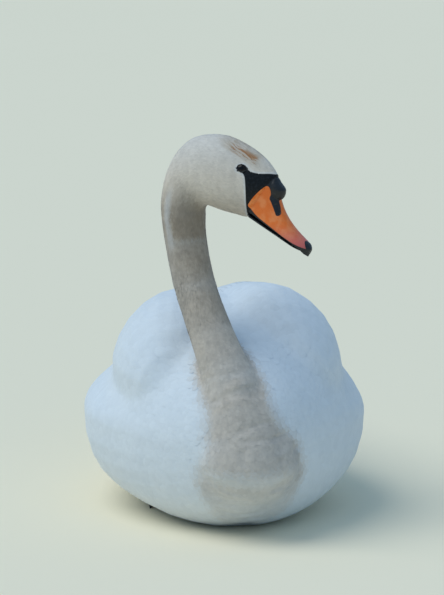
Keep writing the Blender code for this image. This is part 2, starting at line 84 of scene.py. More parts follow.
# Wings, folded: an oval section that shrinks from its fullest place to both ends.
WING_FRONT, WING_FULL, WING_TIP = -0.135, -0.01, 0.462
WING_HALF = 0.084
WING_SLIM = 0.8
WING_TILT = math.radians(24)
WING_SPREAD = {1: 0.065, -1: 0.069}
WING_LEVEL = {1: 0.189, -1: 0.182}

# Feet: the joint of the left one and, for each toe from the inner one, its angle out and its length.
TOE_JOINT = (0.064, 0.108)
TOE_ANGLES = [math.radians(turn) for turn in (-21, -3, 13)]
TOE_LENGTHS = (0.104, 0.136, 0.128)

# Tail.
TAIL_ROOT = np.array((0.0, 0.3, 0.112))
TAIL_LENGTH = 0.235
TAIL_RISE = math.radians(12)
TAIL_SPREAD = math.radians(19)

# Trunk, as far as its underside and its sides need it.
BREAST_REACH, RUMP_REACH, HALF_WIDTH = 0.245, 0.375, 0.1685
BREAST_NOSE, RUMP_NOSE = 0.11, 0.128
KEEL_FRONT, KEEL_REAR, BELLY_SINK = -0.09, 0.12, 0.003

BODY_VOXEL, BILL_VOXEL, FOOT_VOXEL = 0.0032, 0.0008, 0.0009     # how finely surfaces are rebuilt
CLEARANCE = 0.0004         # how far each solid is grown, so that they merge over the gaps between them
FLANK_TRIM = 0.007         # how far the right flank is drawn in under the wing
FOLD_DEPTH = 0.0052        # how deep the cross folds low on the neck are, at most
KNOB_ROOT, KNOB_TRIM = 0.034, 0.42     # the knob is slimmed by this share, ahead of this place
SKIN_END = 0.415           # behind this only the wing feathers reach on
COAT_END = 0.4             # behind this no small feathers grow
BILL_EDGE_WAY = (0.825, -0.565)        # ahead and up, square to the line where the bill starts
SHORTER, NARROWER, SHORTEST = 0.62, 0.8, 0.35      # how tufts shrink that would lie on bare skin
SHAFT_STEPS = 3            # how often a shaft turns with the lie of the coat
PATCH = 0.003              # how far across a feather's patch of the map is
VANE_THICKNESS, LID_THICKNESS = 0.0005, 0.0004
LEAST_HALF = 0.024         # feathers turn no faster round the wing than at this half height
WIDEST = 9.0               # how far they may be widened where the wing is thinner than that
DRAPE = 2.0                # how fast the edges of a feather fall away, as 1 over twice a radius
TRUNK_DEPTH, NECK_DEPTH, HEAD_DEPTH = 0.0028, 0.0014, 0.001     # how deep the coat is
FLOOR_GAP = 0.0004         # how far skin and feathers stay above the floor
MIDDLE_GAP = 0.0015        # how far wing feathers stay from the plane between the wings
EYE_RISE = 0.0022          # how far an eyeball stands out of the side of the head
EYE_OPEN = (0.005, 0.0038)             # half the length and height of the opening between the lids

# Light and camera: the ways are where the sun shines to, and where the camera stands from its aim.
SKY, SKY_STRENGTH = (0.33, 0.525, 0.765, 1.0), 0.7
SUN, SUN_ENERGY, SUN_SIZE = (0.98, 1.0, 0.95), 1.5, math.radians(50)
SUN_WAY = Vector((0.53, 0.05, -0.85))
CAMERA_AIM, CAMERA_DISTANCE, CAMERA_LENS = Vector((-0.004, 0, 0.253)), 5.0, 252.0
CAMERA_TURN, CAMERA_RISE = math.radians(-6), math.radians(9)


# ---- numbers and places

def unit(vectors):
    """Vectors of length 1."""
    return vectors / np.maximum(np.linalg.norm(vectors, axis=-1, keepdims=True), 1e-12)


def dots(first, second):
    """The product of each pair of vectors, kept as a column."""
    return (first * second).sum(-1, keepdims=True)


def ease(low, high, value):
    """0 below low, 1 above high, and a smooth rise between, for arrays and for shader values."""
    if isinstance(value, Link):
        return value.paint.rise(low, high, value)
    share = np.clip((value - low) / (high - low), 0, 1)
    return share * share * (3 - 2 * share)


def softly(choose, first, second, reach):
    """The smaller or the larger of two values, rounded off where they are within reach of each other."""
    near = np.maximum(reach - np.abs(first - second), 0.0) / reach
    rounding = near * near * (reach / 4)
    return choose(first, second) + (rounding if choose is np.maximum else rounding * -1.0)


def line_through(value, start, end):
    """The height over value of the straight line through two points."""
    slope = (end[1] - start[1]) / (end[0] - start[0])
    return start[1] + (value - start[0]) * slope


def bent_line(choose, value, points, reach):
    """The height over value of a line through several points, rounded off at each one between."""
    found = line_through(value, *points[:2])
    for start, end in zip(points[1:], points[2:]):
        found = softly(choose, found, line_through(value, start, end), reach)
    return found


def from_stretch(ahead, up, start, end):
    """The distance from a straight stretch on the side of the head."""
    along = (end[0] - start[0], end[1] - start[1])
    size = along[0] ** 2 + along[1] ** 2
    share = ((ahead - start[0]) * along[0] + (up - start[1]) * along[1]) / size
    share = np.maximum(np.minimum(share, 1.0), 0.0)
    off_ahead = ahead - start[0] - share * along[0]
    off_up = up - start[1] - share * along[1]
    return np.sqrt(off_ahead * off_ahead + off_up * off_up)


def on_head(points):
    """How far points are ahead, up and to the right of the middle of the head."""
    from_eyes = points - HEAD_PLACE
    return from_eyes @ TO_FRONT, from_eyes[..., 2], from_eyes @ TO_RIGHT


def head_point(ahead, up):
    return HEAD_PLACE + TO_FRONT * ahead + Z * up


def bare_skin(ahead, up):
    """Above 0 on the black skin round the eye and between eye and bill, as a distance from its edge."""
    brow = bent_line(np.maximum, ahead, ((0.0022, -0.0002), (0.017, -0.0064), (0.0347, -0.0053)), 0.005)
    brow = softly(np.minimum, brow, line_through(ahead, (0.033, -0.0055), (0.042, -0.0092)), 0.003)
    cheek = 0.007 - (up + 0.03) * (up + 0.03) * 4.5
    lores = softly(np.minimum, brow - up, ahead - cheek, 0.005)
    stretched = (up + 0.0002) * 1.36
    lid = 0.0063 - np.sqrt(ahead * ahead + stretched * stretched)
    corner = 0.0028 - from_stretch(ahead, up, (0.003, -0.0024), (0.0105, -0.0092))
    return softly(np.maximum, lores, softly(np.maximum, lid, corner, 0.003), 0.003)


def near_face(up):
    """1 from the level of the bill's root upward, and 0 on the neck and body below."""
    return ease(-0.085, -0.075, up)


def before_nail(ahead, up, side):
    """Above 0 behind the edge of the nail at the tip of the bill, as a distance from it."""
    return 0.073 + (-0.079 - up) * 0.3 + side * side * 35 - ahead


def orange_horn(ahead, up, side):
    """Above 0 on the orange of the bill, and below 0 on its black, as a distance from its edge."""
    edge = bent_line(np.maximum, ahead, ((0.008, -0.0433), (0.0171, -0.0546), (0.0399, -0.0704),
                                         (0.0551, -0.08), (0.0777, -0.0897)), 0.003)
    rear = bent_line(np.minimum, ahead, ((0.0079, -0.0426), (0.0205, -0.0252), (0.0325, -0.0166)), 0.006)
    under_knob = softly(np.minimum, 0.0333 - ahead, 0.0293 - (up + 0.018) * 0.62 - ahead, 0.003)
    brow = softly(np.maximum, under_knob, -0.0362 - up, 0.004)
    nostril = from_stretch(ahead, up, (0.0358, -0.034), (0.0424, -0.0514)) - (0.0034 + (up + 0.034) * 0.05)
    found = softly(np.minimum, up - edge, rear - up, 0.004)
    found = softly(np.minimum, found, brow, 0.004)
    return np.minimum(softly(np.minimum, found, nostril, 0.002), before_nail(ahead, up, side))


# ---- materials

MATHS = {np.add: "ADD", np.subtract: "SUBTRACT", np.multiply: "MULTIPLY", np.true_divide: "DIVIDE",
         np.minimum: "MINIMUM", np.maximum: "MAXIMUM", np.abs: "ABSOLUTE", np.sqrt: "SQRT", np.sin: "SINE"}


class Link(np.lib.mixins.NDArrayOperatorsMixin):
    """A number in a material. Sums and numpy functions of it add Math nodes, so that one function can
    mark out a place both for arrays of points and for a shader."""

    def __init__(self, paint, socket):
        self.paint = paint
        self.socket = socket

    def __array_ufunc__(self, ufunc, method, *values):
        return self.paint.number("Math", dict(enumerate(values)), operation=MATHS[ufunc])


class Paint:
    """A material that is written as sums of values, colours and patterns."""

    def __init__(self, name, **constants):
        self.material = bpy.data.materials.new(name)
        self.material.use_nodes = True
        self.tree = self.material.node_tree
        self.shader = self.tree.nodes["Principled BSDF"]
        for name, value in constants.items():
            socket = name.replace("_", " ").title().replace("Ior", "IOR")
            self.shader.inputs[socket].default_value = value
        self.place = self.node("TexCoord", {}).outputs["Object"]

    def node(self, kind, values, **settings):
        """Adds a node with the values or links of its sockets, by number or name."""
        made = self.tree.nodes.new("ShaderNode" + kind)
        for name, value in settings.items():
            setattr(made, name, value)
        for key, value in values.items():
            self.feed(made.inputs[key], value)
        return made

    def feed(self, socket, value):
        if isinstance(value, Link):
            value = value.socket
        if isinstance(value, bpy.types.NodeSocket):
            self.tree.links.new(value, socket)
        else:
            socket.default_value = value

    def number(self, kind, values, output=0, **settings):
        return Link(self, self.node(kind, values, **settings).outputs[output])

    def rise(self, low, high, value):
        return self.number("MapRange", {0: value, 1: low, 2: high}, interpolation_type="SMOOTHSTEP")

    def attribute(self, name):
        return self.number("Attribute", {}, "Fac", attribute_name=name)

    def along(self, direction, start):
        """How far a point is from start in a direction."""
        off = self.node("VectorMath", {0: self.place, 1: tuple(start)}, operation="SUBTRACT").outputs[0]
        return self.number("VectorMath", {0: off, 1: tuple(direction)}, "Value", operation="DOT_PRODUCT")

    def on_head(self):
        """How far ahead, up and to the right of the middle of the head a point is."""
        return [self.along(way, HEAD_PLACE) for way in (TO_FRONT, Z, TO_RIGHT)]

    def noise(self, scale, detail=2.0, place=None, rough=0.5):
        """A cloudy pattern about 0.5."""
        values = {"Vector": place or self.place, "Scale": scale, "Detail": detail, "Roughness": rough}
        return self.number("TexNoise", values)

    def vector(self, x, y, z):
        return self.node("CombineXYZ", {0: x, 1: y, 2: z}).outputs[0]

    def blend(self, share, first, second):
        """A colour between two, each a colour or a link."""
        made = self.node("Mix", {"Factor": share}, data_type="RGBA")
        for number, colour in ((6, first), (7, second)):
            self.feed(made.inputs[number], (*colour, 1.0) if isinstance(colour, tuple) else colour)
        return made.outputs[2]

    def scaled(self, colour, factor):
        """A colour made lighter or darker by a number."""
        if isinstance(colour, tuple):
            colour = self.vector(*colour)
        return self.node("VectorMath", {0: colour, 3: factor}, operation="SCALE").outputs[0]

    def bump(self, height, distance, strength=1.0):
        values = {"Strength": strength, "Distance": distance, "Height": height}
        self.feed(self.shader.inputs["Normal"], self.node("Bump", values).outputs[0])

    def finish(self, colour, roughness=None):
        self.feed(self.shader.inputs["Base Color"], colour)
        if roughness is not None:
            self.feed(self.shader.inputs["Roughness"], roughness)
        return self.material


WHITE = (0.74, 0.79, 0.84)
SHADE = (0.64, 0.7, 0.76)
CREAM = (0.74, 0.635, 0.52)
STAINED = (0.54, 0.445, 0.35)
# The darkest warm grey: the neck's real stain, and also painted shade under the head.
DARK_STAIN_AND_SHADE = (0.3, 0.24, 0.18)
TAN = (0.43, 0.325, 0.215)
RUST = (0.4, 0.185, 0.075)
BLACK = (0.005, 0.006, 0.007)
GREY_BLACK = (0.014, 0.017, 0.021)
ORANGE = (0.88, 0.18, 0.02)
PALE_ORANGE = (0.94, 0.29, 0.085)
PINK = (0.54, 0.12, 0.14)
HORN_BLACK = (0.007, 0.008, 0.01)


def feathered(paint):
    """The colour of the plumage: cool white on the body, warm grey on the neck, rusty on the forehead, with
    painted shade at the feather roots and under the head.
    """
    ahead, up, side = paint.on_head()
    stain = paint.attribute("stain")
    along = paint.attribute("along")
    cloud = paint.noise(26.0, 3.0)
    fine = paint.noise(150.0, 3.0)
    # (1 - along) darkens each feather toward its root: painted shade where the feathers above overlap it. The
    # noise in the same blends is the neck's real mottled stain.
    body = paint.blend(ease(0.35, 0.75, cloud) * 0.3 + (1 - along) * 0.1, WHITE, SHADE)
    grime_and_root_shade = ease(0.38, 0.7, fine) * 0.3 + ease(0.42, 0.7, cloud) * 0.25 + (1 - along) * 0.1
    throat_stain_and_shade = paint.attribute("throat_stain_and_shade")
    # Under the head the warm grey is blended darker still: painted shade in the hollow, over the real stain.
    neck = paint.blend(np.minimum(grime_and_root_shade + throat_stain_and_shade * 0.85, 1.0), STAINED, DARK_STAIN_AND_SHADE)
    head = paint.blend(grime_and_root_shade * 0.45, CREAM, STAINED)
    neck = paint.blend(ease(-0.06, -0.015, up) * (1 - throat_stain_and_shade), neck, head)
    colour = paint.blend(stain, body, neck)
    edge = bare_skin(ahead, up)
    face = ease(-0.03, -0.002, ahead) * ease(-0.003, -0.0008, edge) * near_face(up) * stain
    colour = paint.blend(face * 0.35, colour, WHITE)
    colour = rusty(paint, colour, ahead, up, side)
    return paint.scaled(colour, (paint.attribute("tone") - 0.5) * (stain * 0.16 + 0.07) + 1.0)


def rusty(paint, colour, ahead, up, side):
    """Thin rust-coloured streaks in a tan wash, down each side of the forehead."""
    down = line_through(ahead, (-0.023, 0.0272), (0.015, 0.0075))
    off_line = np.abs(up - down)
    wash = ease(0.024, 0.006, up - down) * ease(-0.009, -0.001, up - down)
    wash = wash * ease(-0.046, -0.022, ahead) * ease(0.023, 0.012, ahead)
    band = ease(0.0062, 0.002, off_line) * ease(-0.021, -0.012, ahead) * ease(0.017, 0.012, ahead)
    sway = paint.noise(90.0, 2.0) * 0.004
    along, across = ahead * 0.87 - up * 0.5, ahead * 0.5 + up * 0.87 + sway
    streaks = ease(0.47, 0.6, paint.noise(1.0, 2.0, paint.vector(along * 55, across * 620, side * 60)))
    colour = paint.blend(wash * (0.36 + streaks * 0.25), colour, TAN)
    return paint.blend(band * (streaks * 0.85 + 0.1), colour, RUST)


def plumage(name, barbs, close):
    """Feathers. Barbs is the depth of the fine lines across a vane, and close is how many a vane has."""
    paint = Paint(name, roughness=0.75, specular_ior_level=0.2, sheen_weight=0.12, sheen_roughness=0.5)
    colour = feathered(paint)
    across = np.abs(paint.attribute("across"))
    lines = np.sin((paint.attribute("along") * 6.0 - across * 1.15) * close)
    paint.bump(lines * 0.25 + ease(0.1, 0.0, across), barbs)
    return paint.finish(colour)


def skin_finish():
    """Downy skin under the coat, and bare black skin before the eye, with the orange at the gape."""
    paint = Paint("downy_skin", specular_ior_level=0.22)
    ahead, up, side = paint.on_head()
    down = feathered(paint)
    pores = paint.noise(1300.0, 2.0)
    folds = paint.noise(420.0, 3.0)
    black = paint.blend(ease(0.45, 0.75, folds), BLACK, GREY_BLACK)
    horn = paint.blend(ease(0.4, 0.7, paint.noise(160.0, 3.0)), ORANGE, PALE_ORANGE)
    bare = ease(-0.00035, 0.00035, bare_skin(ahead, up)) * near_face(up)
    orange = ease(-0.0003, 0.0003, orange_horn(ahead, up, side))
    colour = paint.blend(bare, paint.scaled(down, 0.92), black)
    colour = paint.blend(bare * orange, colour, horn)
    paint.bump(folds + pores * 0.5, 0.0004, 0.7)
    return paint.finish(colour, 0.8 - bare * 0.42)


def bill_finish():
    """Orange horn with pale scuffs, pinker to the tip, and black edges, nostrils, nail and knob."""
    paint = Paint("orange_and_black_horn", specular_ior_level=0.5)
    ahead, up, side = paint.on_head()
    orange = ease(-0.00028, 0.00028, orange_horn(ahead, up, side))
    cloud = paint.noise(120.0, 3.0)
    scuffs = ease(0.64, 0.74, paint.noise(420.0, 4.0, rough=0.7)) * ease(0.45, 0.6, cloud)
    horn = paint.blend(ease(0.38, 0.68, cloud) * 0.75, ORANGE, PALE_ORANGE)
    horn = paint.blend(ease(-0.06, -0.091, up) * 0.85, horn, PINK)
    horn = paint.blend(scuffs * 0.35, horn, (0.8, 0.5, 0.36))
    folds = paint.noise(330.0, 3.0)
    dark = paint.blend(ease(0.45, 0.75, folds), HORN_BLACK, GREY_BLACK)
    colour = paint.blend(orange, dark, horn)
    grain_place = paint.vector((ahead * 0.55 - up * 0.83) * 90, (ahead * 0.83 + up * 0.55) * 900, side * 900)
    grain = paint.noise(1.0, 2.0, grain_place)
    paint.bump(grain * 0.4 + folds * 0.6, 0.0003, 0.6)
    return paint.finish(colour, 0.34 + cloud * 0.12 + scuffs * 0.15)


def eye_finish(name, centre, outward):
    """A dark brown iris round a black pupil, under a clear wet surface."""
    paint = Paint(name, roughness=0.06, specular_ior_level=0.25)
    outer = paint.along(outward, centre) / EYE_RADIUS
    off_axis = np.sqrt(np.maximum(1 - outer * outer, 0.0))
    iris = ease(0.34, 0.38, off_axis) * ease(0.7, 0.64, off_axis)
    rays = paint.noise(900.0, 2.0)
    brown = paint.blend(rays, (0.008, 0.005, 0.004), (0.02, 0.011, 0.007))
    return paint.finish(paint.blend(iris * 0.8, (0.002, 0.002, 0.003), brown))


def foot_finish():
    """Black leathery skin with small scales."""
    paint = Paint("black_scaly_skin", specular_ior_level=0.4)
    scales = paint.number("TexVoronoi", {"Vector": paint.place, "Scale": 420.0}, "Distance",
                          feature="DISTANCE_TO_EDGE")
    cloud = paint.noise(60.0, 3.0)
    raised = ease(0.02, 0.2, scales)
    colour = paint.blend(cloud, (0.016, 0.017, 0.018), (0.052, 0.05, 0.046))
    colour = paint.blend((1 - raised) * 0.6, colour, (0.085, 0.08, 0.072))
    paint.bump(raised, 0.0005, 0.8)
    return paint.finish(colour, 0.62 - cloud * 0.15)


def claw_finish():
    """Dark horn, a little streaky."""
    paint = Paint("dark_claw", specular_ior_level=0.5)
    streaks = paint.noise(300.0, 2.0)
    colour = paint.blend(streaks, (0.015, 0.014, 0.013), (0.06, 0.054, 0.046))
    return paint.finish(colour, 0.3 + streaks * 0.2)


def floor_finish():
    paint = Paint("pale_floor", roughness=0.9, specular_ior_level=0.1)
    return paint.finish(paint.blend(paint.noise(0.8, 1.0), (0.96, 0.865, 0.665), (0.97, 0.875, 0.675)))


# ---- surfaces from the solids

def merged(name, grow=0.0):
    """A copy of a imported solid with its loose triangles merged, grown outward a little."""
    bm = bmesh.new()
    bm.from_mesh(nodes[name].data)
    bmesh.ops.remove_doubles(bm, verts=bm.verts, dist=0.00001)
    bm.normal_update()
    for vertex, normal in [(vertex, vertex.normal.copy()) for vertex in bm.verts]:
        vertex.co += normal * grow
    return bm


def joined(parts):
    """One bmesh of several, which are freed."""
    whole = bmesh.new()
    for part in parts:
        mesh = bpy.data.meshes.new("part")
        part.to_mesh(mesh)
        part.free()
        whole.from_mesh(mesh)
        bpy.data.meshes.remove(mesh)
    return whole


def added(name, data):
    """A new object in the scene."""
    obj = bpy.data.objects.new(name, data)
    bpy.context.scene.collection.objects.link(obj)
    return obj


def object_of(name, bm):
    """A smooth-shaded object of a bmesh, which is freed."""
    mesh = bpy.data.meshes.new(name)
    bm.to_mesh(mesh)
    bm.free()
    mesh.shade_smooth()
    return added(name, mesh)


def points_of(mesh):
    """The places of a mesh's vertices."""
    flat = np.empty(len(mesh.vertices) * 3, np.float32)
    mesh.vertices.foreach_get("co", flat)
    return flat.reshape(-1, 3).astype(float)


def bmesh_of(points, quads):
    """A bmesh of a surface that is held as arrays."""
    mesh = bpy.data.meshes.new("surface")
    mesh.from_pydata(points.tolist(), [], quads.tolist())
    bm = bmesh.new()
    bm.from_mesh(mesh)
    bpy.data.meshes.remove(mesh)
    return bm


def write_attributes(mesh, values):
    """Keeps a number for each vertex under each name, for the materials to read."""
    for name, value in values.items():
        layer = mesh.attributes.new(name, "FLOAT", "POINT")
        layer.data.foreach_set("value", value.astype(np.float32))


class Surface:
    """A closed surface of quads, with smooth normals and a search tree."""

    def __init__(self, bm, voxel, rounds):
        source = object_of("source", bm)
        modifier = source.modifiers.new("remesh", "REMESH")
        modifier.mode = "VOXEL"
        modifier.voxel_size = voxel
        graph = bpy.context.evaluated_depsgraph_get()
        mesh = bpy.data.meshes.new_from_object(source.evaluated_get(graph))
        self.points = points_of(mesh)
        corners = np.empty(len(mesh.loops), np.int32)
        mesh.loops.foreach_get("vertex_index", corners)
        self.quads = corners.reshape(-1, 4)
        bpy.data.objects.remove(source)
        bpy.data.meshes.remove(mesh)
        self.relax(rounds)

    def neighbours(self):
        """The middle of the points round each point."""
        if not hasattr(self, "ends"):
            ends = np.concatenate([self.quads[:, [i, (i + 1) % 4]] for i in range(4)])
            self.ends = np.unique(np.sort(ends, axis=1), axis=0)
            self.near = np.bincount(self.ends.ravel(), minlength=len(self.points))[:, None]
        first, second = self.ends.T
        count = len(self.points)
        total = [np.bincount(first, self.points[second, axis], count)
                 + np.bincount(second, self.points[first, axis], count) for axis in range(3)]
        return np.stack(total, 1) / self.near

    def relax(self, rounds, share=1.0):
        """Smooths the surface without shrinking it."""
        for factor in (0.55, -0.57) * rounds:
            self.points += share * factor * (self.neighbours() - self.points)
        self.update()

    def fill(self, share, rounds):
        """Fills the hollow creases where share is above 0, and leaves alone what bulges."""
        share = share[:, None]
        for _ in range(rounds):
            rise = dots(self.neighbours() - self.points, self.normals)
            self.points += self.normals * np.maximum(rise, 0) * share
        self.update()

    def update(self):
        """Works the normals and the search tree out again."""
        corners = self.points[self.quads]
        face = np.cross(corners[:, 2] - corners[:, 0], corners[:, 3] - corners[:, 1])
        self.areas = np.linalg.norm(face, axis=1) / 2
        self.centres = corners.mean(1)
        total = np.empty_like(self.points)
        for axis in range(3):
            weights = np.repeat(face[:, axis], 4)
            total[:, axis] = np.bincount(self.quads.ravel(), weights, len(self.points))
        self.normals = unit(total)
        self.face_normals = unit(self.normals[self.quads].sum(1))
        self.tree = BVHTree.FromPolygons(self.points.tolist(), self.quads.tolist())

    def nearest(self, points):
        """The nearest places on the surface, and its smooth normals there."""
        found = [self.tree.find_nearest(point) for point in points.tolist()]
        places = np.array([place[:] for place, _, _, _ in found])
        faces = [face for _, _, face, _ in found]
        return places, self.face_normals[faces]

    def object(self, name):
        return object_of(name, bmesh_of(self.points, self.quads))


def tail_plug():
    """The part of the tail that is inside the rump, to fill its slot."""
    bm = merged("tail", 0.0015)
    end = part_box("trunk")[1].y - 0.006
    everything = bm.verts[:] + bm.edges[:] + bm.faces[:]
    bmesh.ops.bisect_plane(bm, geom=everything, plane_co=(0, end, 0), plane_no=(0, 1, 0), clear_outer=True)
    bmesh.ops.holes_fill(bm, edges=bm.edges)
    return bm


def underside(points):
    """Height of the trunk's underside at each point."""
    x, y = np.abs(points[:, 0]), points[:, 1]
    front, rear = np.clip(-y / BREAST_REACH, 0, 1), np.clip(y / RUMP_REACH, 0, 1)
    width = HALF_WIDTH * np.where(y < 0, (1 - front ** 1.5) ** (1 / 1.5), (1 - rear ** 2.2) ** 0.9)
    ahead = np.clip((KEEL_FRONT - y) / (BREAST_REACH + KEEL_FRONT), 0, 1)
    behind = np.clip((y - KEEL_REAR) / (RUMP_REACH - KEEL_REAR), 0, 1)
    nose = np.where(y < 0, BREAST_NOSE, RUMP_NOSE)
    bottom = nose - (nose + BELLY_SINK) * np.sqrt(1 - np.maximum(ahead, behind) ** 2)
    level = BREAST_NOSE + (RUMP_NOSE - BREAST_NOSE) * (y + BREAST_REACH) / (BREAST_REACH + RUMP_REACH)
    boxy = 2 + 0.5 * np.clip(1 - (y / 0.25) ** 2, 0, 1)
    share = np.minimum(x / np.maximum(width, 0.001), 1)
    return np.maximum(level - (level - bottom) * (1 - share ** boxy) ** (1 / boxy), 0)


def make_form():
    """The outer form of the whole bird, which the tips of the coat reach."""
    names = FLESH + ("bill_upper", "bill_lower", "eye_left", "eye_right")
    parts = [merged(name, CLEARANCE) for name in names]
    form = Surface(joined(parts + [tail_plug()]), BODY_VOXEL, 6)
    seats = {name: seat_of_eye(form, side, EYES[name]) for name, side in SIDES.items()}
    x, y, z = form.points.T
    belly = underside(form.points)
    hollow = (z < 0.045) & (z > belly + 0.0005) & (np.abs(x) < 0.13) & (np.abs(y - 0.085) < 0.155)
    form.points[hollow, 2] = belly[hollow]
    form.relax(2, hollow[:, None])
    x, y, z = form.points.T
    under_wing = np.exp(-((z - 0.152) / 0.015) ** 2) * ease(-0.095, -0.125, x)
    form.points[:, 0] += FLANK_TRIM * under_wing * ease(-0.17, -0.09, y) * ease(0.3, 0.16, y)
    reach, gap, _, radius = along_line(form.points)
    y, z = form.points[:, 1], form.points[:, 2]
    front = ease(0.04, -0.04, y) * ease(0.08, 0.11, z) * ease(0.003, 0.013, gap - radius)
    form.fill(front, 160)
    wrinkled = ease(SHOULDER_REACH - 0.03, SHOULDER_REACH + 0.03, reach) * ease(0.004, -0.003, gap - radius)
    for i in np.flatnonzero(wrinkled > 0):
        x, y, z = form.points[i]
        fold = noise.noise(Vector((x * 30, y * 30, reach[i] * 115)))
        form.points[i] -= form.normals[i] * (max(0.0, fold - 0.05) * FOLD_DEPTH * wrinkled[i])
    form.update()
    return form, seats


def seat_of_eye(form, side, centre):
    """Smooths the side of the head, and swells it over an eyeball that is set square to it.
    Returns the eyeball's centre, and the ways out of it, ahead and up over its lids."""
    near = ease(0.0125, 0.0105, np.linalg.norm(form.points - centre, axis=1))[:, None]
    for _ in range(80):
        form.points += near * 0.9 * (form.neighbours() - form.points)
    form.update()
    outward = -TO_RIGHT * side
    place = np.array(form.tree.ray_cast(Vector(centre + outward * 0.03), Vector(-outward))[0])
    around = np.linalg.norm(form.points - place, axis=1) < 0.009
    out = unit(form.normals[around].mean(0))
    ball = place - out * (EYE_RADIUS - EYE_RISE)
    from_ball = form.points - ball
    gap = np.linalg.norm(from_ball, axis=1)
    under = (gap < EYE_RADIUS + 0.0003) & (from_ball @ out > 0)
    form.points[under] += (unit(from_ball) * (EYE_RADIUS + 0.0003 - gap)[:, None])[under]
    form.update()
    ahead = unit(TO_FRONT - out * (out @ TO_FRONT))
    return ball, out, ahead, np.cross(out, ahead) * -side


# ---- places on the bird

BIRD_LINE = np.array([head_point(*place) for place in HEAD_LINE] + [row[:3] for row in NECK_LINE])
LINE_RADIUS = np.array([0.03] * len(HEAD_LINE) + [row[3] for row in NECK_LINE])
LINE_REACH = np.concatenate([[0], np.cumsum(np.linalg.norm(np.diff(BIRD_LINE, axis=0), axis=1))])
LINE_WAYS = unit(np.gradient(BIRD_LINE, axis=0))
SHOULDER_REACH = LINE_REACH[len(HEAD_LINE) + 3]      # where the neck starts to widen into the breast


def along_line(points):
    """For each point: how far down the head and neck it is, its distance from their middle line, the
    line's direction there, and the neck's radius there."""
    best = np.full(len(points), np.inf)
    reach, radius = np.zeros(len(points)), np.zeros(len(points))
    ways = np.zeros((len(points), 3))
    for i in range(len(BIRD_LINE) - 1):
        stretch = BIRD_LINE[i + 1] - BIRD_LINE[i]
        share = np.clip((points - BIRD_LINE[i]) @ stretch / (stretch @ stretch), 0, 1)
        gap = np.linalg.norm(points - BIRD_LINE[i] - share[:, None] * stretch, axis=1)
        closer = gap < best
        best[closer] = gap[closer]
        share = share[closer]
        reach[closer] = LINE_REACH[i] + share * (LINE_REACH[i + 1] - LINE_REACH[i])
        radius[closer] = LINE_RADIUS[i] + share * (LINE_RADIUS[i + 1] - LINE_RADIUS[i])
        ways[closer] = LINE_WAYS[i] + share[:, None] * (LINE_WAYS[i + 1] - LINE_WAYS[i])
    return reach, best, unit(ways), radius


def wing_section(y, side):
    """Half height, and middle across and up, of the folded wing at y."""
    front = np.clip((WING_FULL - y) / (WING_FULL - WING_FRONT), 0, 1)
    rear = np.clip((y - WING_FULL) / (WING_TIP - WING_FULL), 0, 1)
    half = WING_HALF * np.where(y < WING_FULL, np.sqrt(1 - front ** 2), 1 - rear ** 1.5)
    middle = np.where(y < WING_FULL, WING_SPREAD[side] + 0.016 * front ** 1.5,
                      WING_SPREAD[side] * (1 - 0.8 * rear))
    level = np.where(y < WING_FULL, WING_LEVEL[side] - 0.014 * front ** 2,
                     WING_LEVEL[side] - 0.012 * rear ** 0.6)
    return half, middle, level


def on_wing(side, y, turn, lift):
    """A place on the folded wing: turn is 0 at its outer side and a quarter turn on top."""
    half, middle, level = wing_section(y, side)
    half = np.maximum(half, 0.009)
    out = (half * WING_SLIM + lift) * np.cos(turn)
    up = (half + lift) * np.sin(turn)
    x = middle + out * math.cos(WING_TILT) - up * math.sin(WING_TILT)
    z = level + up * math.cos(WING_TILT) + out * math.sin(WING_TILT)
    return np.stack([side * x, y, z], -1)


def off_wing(points):
    """How far each point is outside the nearer wing, below 0 inside."""
    found = np.full(len(points), 1.0)
    for side in SIDES.values():
        y = points[:, 1]
        half, middle, level = wing_section(y, side)
        half = np.maximum(half, 0.002)
        x, z = side * points[:, 0] - middle, points[:, 2] - level
        out = x * math.cos(WING_TILT) + z * math.sin(WING_TILT)
        up = z * math.cos(WING_TILT) - x * math.sin(WING_TILT)
        gap = (np.hypot(out / (half * WING_SLIM), up / half) - 1) * half
        gap[(y < WING_FRONT) | (y > WING_TIP)] = 1.0
        found = np.minimum(found, gap)
    return found


